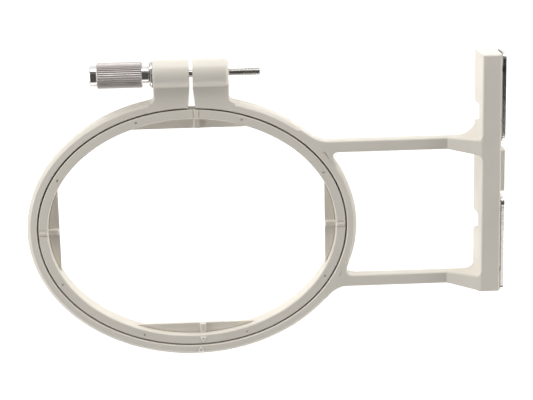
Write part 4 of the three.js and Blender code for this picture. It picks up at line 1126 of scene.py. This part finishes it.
def threaded_rod(name, start, end, vertices=32):
    """A threaded rod along the clamp screw's line: a thread profile wound up, capped and trimmed."""
    sizes = clamp()
    crest, pitch = sizes.shank_radius, sizes.pitch
    root = crest - sizes.thread_depth
    profile = [(root, 0.0), (root, 0.1), (crest, 0.42), (crest, 0.58), (root, 0.9), (root, 1.0)]
    deselect()
    bpy.ops.mesh.primitive_circle_add(vertices=len(profile), radius=MM)
    piece = named(name)
    for vertex, (radius, share) in zip(piece.data.vertices, profile):
        vertex.co = (radius, 0, share * pitch)
    edit(piece)
    pick(piece, "EDGE", lambda edge: near(edge.calc_length(), pitch, MERGE))
    bpy.ops.mesh.delete(type="EDGE")
    leave(piece)
    turns = math.ceil((end - start) / pitch) + 4
    wound(piece, pitch, turns, vertices, use_merge_vertices=True, merge_threshold=MERGE)
    piece.rotation_euler = Euler((0, math.pi / 2, 0))
    piece.location = (start - 2 * pitch, SCREW_Y, SCREW_Z)
    settle(piece)
    blunt, run = 0.45 * MM, end - start
    profile = [(crest + MM, 0.0), (crest + MM, run - blunt - MM), (crest - blunt, run)]
    return combine(piece, [turned("trim", profile, (start, SCREW_Y, SCREW_Z), 0, vertices)], "INTERSECT")


def knurled_knob():
    """A turned knob: boss, straight-knurled barrel and neck, bored for the screw."""
    sizes = clamp()
    steps = len(KNURL) * KNURL_RIDGES
    start, end = KNOB_LOW.x + sizes.boss_length, KNOB_HIGH.x - sizes.neck_length
    radius, low = sizes.knob_radius, sizes.knob_radius - 0.7 * MM
    run, rise = end - start, 0.5 * MM
    profile = [(low, 0.0), (radius, rise), (radius, run - rise), (low, run)]
    barrel = turned("knob_turned", profile, (start, SCREW_Y, SCREW_Z), 0, steps)
    for vertex in barrel.data.vertices:
        spoke = Vector((vertex.co.y - SCREW_Y, vertex.co.z - SCREW_Z))
        step = round(math.atan2(spoke.y, spoke.x) / (2 * math.pi) * steps) % len(KNURL)
        if spoke.length > radius - 0.1 * MM:
            spoke = spoke.normalized() * (radius - sizes.knurl_depth * KNURL[step])
            vertex.co.y, vertex.co.z = SCREW_Y + spoke.x, SCREW_Z + spoke.y
    boss, neck, run = sizes.boss_radius, sizes.neck_radius, KNOB_HIGH.x - KNOB_LOW.x
    bend, blunt = 1.2 * MM, 0.4 * MM
    profile = [(boss - bend + bend * math.sin(turn), bend - bend * math.cos(turn)) for turn in QUARTER]
    profile += [(boss, sizes.boss_length + JOIN), (neck, sizes.boss_length + 2 * JOIN)]
    profile += [(neck, run - blunt), (neck - blunt, run)]
    combine(barrel, [turned("core", profile, (KNOB_LOW.x, SCREW_Y, SCREW_Z), 0, 64)])
    depth = 16.1 * MM
    place = (KNOB_HIGH.x - depth, SCREW_Y, SCREW_Z)
    cut(barrel, [rod("bore", sizes.shank_radius + ROOM, depth + JOIN, place)])
    return smooth(barrel, 30)


def washer(name, node, hole, soft=0.15 * MM):
    """A washer across X with softened rims, in the place of its node."""
    low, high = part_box(node)
    _, y, z = halfway(low, high)
    radius, thick = (high.y - low.y) / 2, high.x - low.x
    place = Vector((low.x, y, z))
    profile = [(radius - soft, 0.0), (radius, soft), (radius, thick - soft), (radius - soft, thick)]
    piece = turned(name, profile, place, 0, 64)
    return cut(piece, [rod("hole", hole, thick + 2 * JOIN, place - Vector((JOIN, 0, 0)))])


def split_washer():
    """A spring washer: its ring is split by a slanted gap."""
    low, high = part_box("spring_washer")
    reach, half, slant = 2 * MM, 0.4 * MM, math.radians(25)
    piece = washer("spring_washer_split", "spring_washer", clamp().shank_radius + 0.15 * MM)
    gap = block("gap", (-reach, 0, -half), (reach, high.y - low.y, half))
    gap.rotation_euler = Euler((0, slant, 0))
    gap.location = (halfway(low, high)[0], SCREW_Y, SCREW_Z)
    return cut(piece, [settle(gap)])


def square_nut():
    """A square nut with a countersunk thread hole."""
    low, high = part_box("clamp_nut")
    piece = block("clamp_nut_brass", low, high)
    bevel(piece, 0.5 * MM, 2, runs(0))
    hole, run, over = clamp().shank_radius + ROOM, high.x - low.x, 0.2 * MM
    sunk = 0.6 * MM
    wide = hole + sunk
    profile = [(wide, 0.0), (hole, sunk), (hole, run + 2 * over - sunk), (wide, run + 2 * over)]
    return cut(piece, [turned("hole", profile, (low.x - over, SCREW_Y, SCREW_Z))])


class HOOP_OT_clamp(bpy.types.Operator):
    """Model the clamp screw, its knurled knob, washers and nut"""

    bl_idname = "hoop.clamp"
    bl_label = "Clamp Screw"

    def execute(self, context):
        sizes = clamp()
        lug_end = OVAL_X + sizes.slit_x + sizes.slit_width / 2 + sizes.lug_width
        thread_start, shank_end = lug_end - 8 * MM, lug_end - 7 * MM
        screw = threaded_rod("clamp_screw_threaded", thread_start, SCREW_HIGH.x)
        run = shank_end - SCREW_LOW.x
        combine(screw, [rod("shank", sizes.shank_radius - SINK, run, (SCREW_LOW.x, SCREW_Y, SCREW_Z))])
        install(smooth(screw, 30), "screw", "clamp_screw", "turned_steel")
        knob = install(knurled_knob(), "screw", "knurled_knob", "polished_plate")
        start, end = KNOB_LOW.x + sizes.boss_length, KNOB_HIGH.x - sizes.neck_length

        def on_barrel(place):
            spoke = math.hypot(place.y - SCREW_Y, place.z - SCREW_Z)
            return start < place.x < end and spoke > sizes.boss_radius + 0.3 * MM

        # The knurled barrel gets the darker plating, a painted shade.
        paint(knob, "knurled_plate_painted_shade", on_barrel)
        thrust = washer("thrust_washer_turned", "thrust_washer", sizes.shank_radius + ROOM)
        install(smooth(thrust), "washers", "thrust_washer", "polished_plate")
        install(smooth(split_washer()), "washers", "spring_washer", "turned_steel")
        install(smooth(square_nut(), 30), "frame", "clamp_nut", "turned_brass")
        return {"FINISHED"}


# Spring clips


def latch_start(side):
    """Y of a latch plate's inner end, next to the centre stop."""
    low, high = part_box(f"{side}_latch_plate")
    return low.y if SIDES[side] > 0 else high.y


def stadium(start, end, middle, radius):
    """Outline of a slot with round ends: its length runs along the first coordinate."""
    low, high = sorted((start, end))
    return arc(high, middle, radius, -90, 90, 8) + arc(low, middle, radius, 90, 270, 8)


def finger_grip(side):
    """A shallow pan pressed from sheet metal, with its open side against the channel's wall."""
    sizes = clips()
    low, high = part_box(f"{side}_finger_grip")
    pan = block(f"{side}_grip_pan", (low.x + sizes.grip_gap, low.y, low.z), high)
    bevel(pan, sizes.grip_corner, 6, runs(0))
    bevel(pan, sizes.grip_round, 5, rim(0, high.x))
    edit(pan)
    pick(pan, "FACE", lambda face: face.normal.x < -0.99)
    bpy.ops.mesh.delete(type="FACE")
    leave(pan)
    apply(pan, "SOLIDIFY", thickness=sizes.sheet, offset=-1.0, use_even_offset=True)
    straighten(pan)
    low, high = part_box(f"{side}_grip_rivet")
    _, y, z = halfway(low, high)
    return cut(pan, [rod("hole", sizes.rivet_radius + ROOM, 3 * MM, (high.x - 2 * MM, y, z))])


def latch_plate(side):
    """A sheet-metal plate with an upright spring seat, a side tab and an open hook for the carriage's pin."""
    sizes, turn = clips(), SIDES[side]
    sheet = sizes.plate
    low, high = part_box(f"{side}_latch_plate")
    middle = channel_sides()[2]
    start, end = latch_start(side), high.y if turn > 0 else low.y
    side_x = low.x + 2 * (middle - low.x)
    seat = sorted((start, start + turn * sheet))
    tab = sorted((start + turn * sizes.tab_place, start + turn * (sizes.tab_place + sheet)))
    piece = block(f"{side}_latch_sheet", low, (side_x, high.y, low.z + sheet))
    upright = block("upright", (low.x, seat[0], low.z), (side_x, seat[1], high.z))
    bevel(upright, 1.2 * MM, 4, lambda edge: along(edge, 1) and edge.verts[0].co.z > high.z - MM)
    web = block("web", (side_x - sheet, tab[0], low.z), (side_x, tab[1], sizes.tab_high))
    tongue = block("tongue", (side_x - sheet, tab[0], sizes.tab_low), (high.x, tab[1], sizes.tab_high))
    bevel(tongue, 0.8 * MM, 3, lambda edge: along(edge, 1) and edge.verts[0].co.x > high.x - MM)
    combine(piece, [upright, web, tongue])
    guide = start + turn * sizes.guide_place
    pin = end - turn * sizes.hook_reach
    for name, first, last, radius in (
        ("slot", guide, guide + turn * sizes.travel, sizes.guide_radius + sizes.play / 2),
        ("hook", pin, pin + turn * 3 * MM, sizes.pin_neck / 2),
    ):
        outline = [(x, y) for y, x in stadium(first, last, middle, radius)]
        cut(piece, [plate(name, outline, low.z - JOIN, low.z + sheet + JOIN)])
    eased = {"width": 0.12 * MM, "segments": 2, "limit_method": "ANGLE", "angle_limit": math.radians(40)}
    apply(piece, "BEVEL", use_clamp_overlap=True, **eased)
    return piece


def coil_spring(side):
    """A wire spring round the centre stop's peg, wound up from a circle of wire."""
    sizes, turns = clips(), 5
    low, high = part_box(f"{side}_latch_spring")
    x, _, z = halfway(low, high)
    deselect()
    bpy.ops.mesh.primitive_circle_add(
        vertices=12, radius=sizes.wire / 2, location=(sizes.coil, 0, 0), rotation=(math.pi / 2, 0, 0)
    )
    piece = settle(named(f"{side}_coil_spring"))
    wound(piece, (high.y - low.y - sizes.wire) / turns, turns, 36)
    piece.rotation_euler = Euler((-math.pi / 2, 0, 0))
    piece.location = (x, low.y + sizes.wire / 2, z)
    return settle(piece)


def slotted_screw(name, node, shoulder_radius, shoulder):
    """A small headed screw that points up, with a straight driver slot in its head."""
    sizes = clips()
    low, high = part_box(node)
    x, y, _ = halfway(low, high)
    head, thread, tall = sizes.head_radius, sizes.thread_radius, high.z - low.z
    top = sizes.head_height
    profile = [(head - SOFT, 0.0), (head, SOFT), (head, top), (shoulder_radius, top)]
    if shoulder:
        profile += [(shoulder_radius, top + shoulder), (thread, top + shoulder)]
    plain = 0.4 * MM
    start = top + shoulder + plain
    groove, pitch = thread - 0.12 * MM, 0.45 * MM
    while start + pitch < tall - plain:
        profile += [(thread, start), (groove, start + pitch / 2)]
        start += pitch
    profile += [(thread, start), (thread, tall - SOFT), (thread - SOFT, tall)]
    piece = turned(name, profile, (x, y, low.z), 2)
    reach, half, deep = head + JOIN, 0.35 * MM, 0.5 * MM
    slot_low = (x - reach, y - half, low.z - JOIN)
    return cut(piece, [block("slot", slot_low, (x + reach, y + half, low.z + deep))])


def grip_rivet(side):
    """A rivet with a domed head inside the channel, closed over flush on the grip."""
    sizes = clips()
    low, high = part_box(f"{side}_grip_rivet")
    _, y, z = halfway(low, high)
    head, shank, run, dome = sizes.rivet_head, sizes.rivet_radius, high.x - low.x, 0.6 * MM
    profile = [(head * (0.6 + 0.4 * math.sin(turn)), dome * (1 - math.cos(turn))) for turn in QUARTER]
    profile += [(head, MM), (shank, MM), (shank, run - 0.2 * MM), (shank - SOFT, run)]
    return turned(f"{side}_rivet_turned", profile, (low.x, y, z))


class HOOP_OT_finger_grips(bpy.types.Operator):
    """Press the two finger grips and set their rivets and washers"""

    bl_idname = "hoop.finger_grips"
    bl_label = "Finger Grips"

    def execute(self, context):
        hole = clips().rivet_radius + ROOM
        for side in SIDES:
            clip = f"{side}_clip"
            grip = smooth(finger_grip(side))
            install(grip, clip, f"{side}_finger_grip", "pressed_plate")
            rivet = smooth(grip_rivet(side))
            install(rivet, clip, f"{side}_grip_rivet", "turned_steel")
            ring = smooth(washer(f"{side}_washer_turned", f"{side}_grip_washer", hole, 0.1 * MM))
            install(ring, clip, f"{side}_grip_washer", "turned_steel")
        return {"FINISHED"}


class HOOP_OT_latches(bpy.types.Operator):
    """Model the latch plates, their springs and their guide screws"""

    bl_idname = "hoop.latches"
    bl_label = "Latches"

    def execute(self, context):
        sizes = clips()
        shoulder = sizes.plate + 2 * sizes.play - ROOM
        for side in SIDES:
            sheet = smooth(latch_plate(side))
            install(sheet, f"{side}_clip", f"{side}_latch_plate", "rolled_steel")
            guide = f"{side}_guide_screw"
            screw = slotted_screw(f"{side}_guide_slotted", guide, sizes.guide_radius, shoulder)
            install(smooth(screw), "frame", guide, "turned_steel")
            spring = smooth(coil_spring(side), 60)
            install(spring, "frame", f"{side}_latch_spring", "drawn_wire")
            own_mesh(spring)
        return {"FINISHED"}


class HOOP_OT_centre_stop(bpy.types.Operator):
    """Model the centre stop between the grips and its two screws"""

    bl_idname = "hoop.centre_stop"
    bl_label = "Centre Stop"

    def execute(self, context):
        sizes, middle = clips(), channel_sides()[2]
        half, peg = sizes.stop_half, sizes.peg_radius
        face_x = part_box("upper_finger_grip")[0].x
        bar = block("centre_stop_moulded", (face_x, STOP_LOW.y, STOP_LOW.z), STOP_HIGH)
        bevel(bar, sizes.stop_round, 5, runs(0))
        bevel(bar, CORNER, 3, rim(0, STOP_HIGH.x))
        bite, peg_length = 1.1 * MM, 2.2 * MM
        core_low = (STOP_LOW.x, STOP_Y - half, BLOCK_FOOT)
        core = block("core", core_low, (face_x + bite, STOP_Y + half, BLOCK_TOP))
        reach = half + peg_length
        profile = [(peg - SOFT, 0.0), (peg, SOFT), (peg, 2 * reach - SOFT), (peg - SOFT, 2 * reach)]
        spring_z = halfway(*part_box("upper_latch_spring"))[2]
        pegs = turned("pegs", profile, (middle, STOP_Y - reach, spring_z), 1)
        combine(bar, [core, pegs])
        for step in (-0.5, 0.5):
            place = (middle, STOP_Y + step * sizes.stop_spacing, BLOCK_FOOT - JOIN)
            run = BLOCK_TOP - BLOCK_FOOT + 2 * JOIN
            cut(bar, [rod("hole", sizes.thread_radius + ROOM, run, place, 2, 24)])
        install(smooth(bar), "frame", "centre_stop", "stop_moulded")
        for index in (1, 2):
            screw = slotted_screw(f"stop_slotted_{index}", f"stop_screw_{index}", sizes.thread_radius, 0.0)
            install(smooth(screw), "frame", f"stop_screw_{index}", "turned_steel")
        return {"FINISHED"}


# Stage


def soft_box(name, place, power):
    """A long studio lamp that faces the middle of the set."""
    deselect()
    bpy.ops.object.light_add(type="AREA", location=place)
    lamp = bpy.context.object
    lamp.name = name
    lamp.data.shape = "RECTANGLE"
    lamp.data.size, lamp.data.size_y = 1.3, 0.36
    lamp.data.energy = power
    middle = Vector((0.02, 0.0, 0.0))
    lamp.rotation_euler = (Vector(place) - middle).to_track_quat("Z", "Y").to_euler()


def studio_world(overhead, side_glow):
    """A soft studio surround: bright all round, with a dark zone overhead where the camera hangs."""
    world = bpy.data.worlds.new("studio_world")
    bpy.context.scene.world = world
    world.use_nodes = True
    tree = world.node_tree
    stretch = Vector((2.3, 1.0, 1.0))
    middle = Vector((math.tan(math.radians(-4)), math.tan(math.radians(-10)), 1.0))
    around = add_node(tree, "TexCoord").outputs["Generated"]
    way = steer(tree, "NORMALIZE", steer(tree, "MULTIPLY", around, stretch))
    aim = steer(tree, "DOT_PRODUCT", way, (stretch * middle).normalized())
    fade = remap(tree, aim, 0.62, 0.78, side_glow, overhead, interpolation_type="SMOOTHSTEP")
    seen = add_node(tree, "LightPath").outputs["Is Camera Ray"]
    shown = add_node(tree, "Mix", {"Factor": seen, 2: fade, 3: 1.0}, data_type="FLOAT")
    look = {"Color": (1.0, 1.0, 1.0, 1.0), "Strength": shown.outputs[0]}
    feed(tree, tree.nodes["Background"], look)


def mirror_card(name, place, size, turn, glow, fading=(1.0, 0.9)):
    """A panel beside the set that only shows in the reflections of bright metal."""
    deselect()
    bpy.ops.mesh.primitive_plane_add(size=1.0, location=place, rotation=turn)
    card = named(name)
    card.scale = (size[0], size[1], 1.0)
    settle(card)
    made, tree, shader = new_material(name)
    across = add_node(tree, "SeparateXYZ", {"Vector": object_place(tree)}).outputs["Y"]
    look = {
        "Base Color": (0.012, 0.011, 0.01, 1.0),
        "Roughness": 1.0,
        "Specular IOR Level": 0.0,
        "Emission Color": (1.0, 0.97, 0.93, 1.0),
        "Emission Strength": remap(tree, across, *fading, 0.0, glow, interpolation_type="SMOOTHSTEP"),
    }
    feed(tree, shader, look)
    card.data.materials.append(made)
    card.visible_camera = card.visible_diffuse = card.visible_shadow = False


def light_table():
    """A white floor that glows a little, with a painted shadow under the rings' gap; it is clear from below.
    """
    made, tree, shader = new_material("light_table")
    half = (rings().half_length, rings().half_width, 1.0)
    inward = steer(tree, "SUBTRACT", object_place(tree), (OVAL_X, OVAL_Y, 0.0))
    reach = steer(tree, "LENGTH", steer(tree, "DIVIDE", inward, half))
    # Painted shadow: a thin band under the gap between the rings is painted near black, except where the slit
    # opens, standing in for the shade the rings cast there.
    in_gap = reckon(tree, "COMPARE", reach, 1.0, 0.007)
    split = add_node(tree, "SeparateXYZ", {"Vector": inward}).outputs
    in_slit = reckon(tree, "COMPARE", split["X"], clamp().slit_x, clamp().slit_mouth)
    above = reckon(tree, "MULTIPLY", in_slit, split["Y"])
    bare = reckon(tree, "GREATER_THAN", above, 0.01 * MM)
    dark = reckon(tree, "SUBTRACT", in_gap, bare, use_clamp=True)
    # The floor's white colour and glow, turned near black where the painted shadow lies.
    floor_with_painted_shadow = blended(tree, dark, (0.9, 0.9, 0.9, 1.0), (0.02, 0.02, 0.02, 1.0))
    seen = add_node(tree, "LightPath").outputs["Is Camera Ray"]
    look = {
        "Base Color": floor_with_painted_shadow,
        "Emission Color": floor_with_painted_shadow,
        "Emission Strength": reckon(tree, "MULTIPLY_ADD", seen, 0.55, 0.4),
        "Roughness": 0.9,
        "Specular IOR Level": 0.1,
    }
    feed(tree, shader, look)
    below = add_node(tree, "NewGeometry").outputs["Backfacing"]
    clear = add_node(tree, "BsdfTransparent").outputs["BSDF"]
    shown = add_node(tree, "MixShader", {0: below, 1: shader.outputs["BSDF"], 2: clear})
    feed(tree, tree.nodes["Material Output"], {"Surface": shown.outputs["Shader"]})
    return made


class HOOP_OT_stage(bpy.types.Operator):
    """Set up the floor, the studio light and the camera"""

    bl_idname = "hoop.stage"
    bl_label = "Stage"

    def execute(self, context):
        deselect()
        bpy.ops.mesh.primitive_plane_add(size=4.0, location=(0, 0, -0.3 * MM))
        floor = named("floor")
        floor.data.materials.append(light_table())
        studio_world(overhead=0.08, side_glow=0.22)
        upright, flat = (0, math.pi / 2, 0), (0, 0, 0)
        mirror_card("dark_card", (0.5, 0.19, 0.25), (0.6, 0.5), upright, 0.0)
        mirror_card("white_card", (0.3, -0.2, 0.5), (0.3, 0.5), flat, 0.9, (-0.08, -0.12))
        soft_box("left_lamp", (-0.95, 0.0, 0.34), 6.1)
        soft_box("right_lamp", (0.95, 0.05, 0.22), 5.7)
        soft_box("back_lamp", (0.0, 0.95, 0.26), 6.3)
        soft_box("front_lamp", (0.0, -0.95, 0.2), 2.9)
        bpy.ops.object.camera_add(location=(-0.030184, 0.212206, 0.823989))
        camera = context.object
        camera.name = "photo_camera"
        camera.rotation_euler = Euler([math.radians(turn) for turn in (-14.273, -2.502, -1.2678)])
        camera.data.sensor_width = 36.0
        camera.data.lens = 109.85
        camera.data.clip_start = 0.01
        context.scene.camera = camera
        context.scene.view_settings.view_transform = "Standard"
        return {"FINISHED"}


class HOOP_PT_panel(bpy.types.Panel):
    """Lists the pieces of the hoop in the order they are made"""

    bl_idname = "HOOP_PT_panel"
    bl_label = "Embroidery Hoop"
    bl_space_type = "VIEW_3D"
    bl_region_type = "UI"
    bl_category = "Hoop"

    def draw(self, context):
        for group, (kind, title) in GROUPS.items():
            section = self.layout.box()
            section.label(text=title)
            for key in kind.__annotations__:
                section.prop(getattr(context.scene, group), key)
        for operator in OPERATORS:
            self.layout.operator(operator.bl_idname)


GROUPS = {
    "hoop_rings": (RingSizes, "Rings"),
    "hoop_clamp": (ClampSizes, "Clamp"),
    "hoop_connector": (ConnectorSizes, "Connector"),
    "hoop_clips": (ClipSizes, "Clips"),
    "hoop_finishes": (Finishes, "Finishes"),
}
OPERATORS = [
    HOOP_OT_stage,
    HOOP_OT_finishes,
    HOOP_OT_outer_frame,
    HOOP_OT_inner_hoop,
    HOOP_OT_clamp,
    HOOP_OT_finger_grips,
    HOOP_OT_latches,
    HOOP_OT_centre_stop,
]


def register():
    for group, (kind, title) in GROUPS.items():
        bpy.utils.register_class(kind)
        setattr(bpy.types.Scene, group, bpy.props.PointerProperty(type=kind, name=title))
    for kind in OPERATORS + [HOOP_PT_panel]:
        bpy.utils.register_class(kind)


def unregister():
    for kind in reversed(OPERATORS + [HOOP_PT_panel]):
        bpy.utils.unregister_class(kind)
    for group, (kind, _) in GROUPS.items():
        delattr(bpy.types.Scene, group)
        bpy.utils.unregister_class(kind)


def main():
    register()
    bpy.ops.hoop.stage()
    bpy.ops.hoop.finishes()
    bpy.ops.hoop.outer_frame()
    bpy.ops.hoop.inner_hoop()
    bpy.ops.hoop.clamp()
    bpy.ops.hoop.finger_grips()
    bpy.ops.hoop.latches()
    bpy.ops.hoop.centre_stop()


if __name__ == "__main__":
    main()
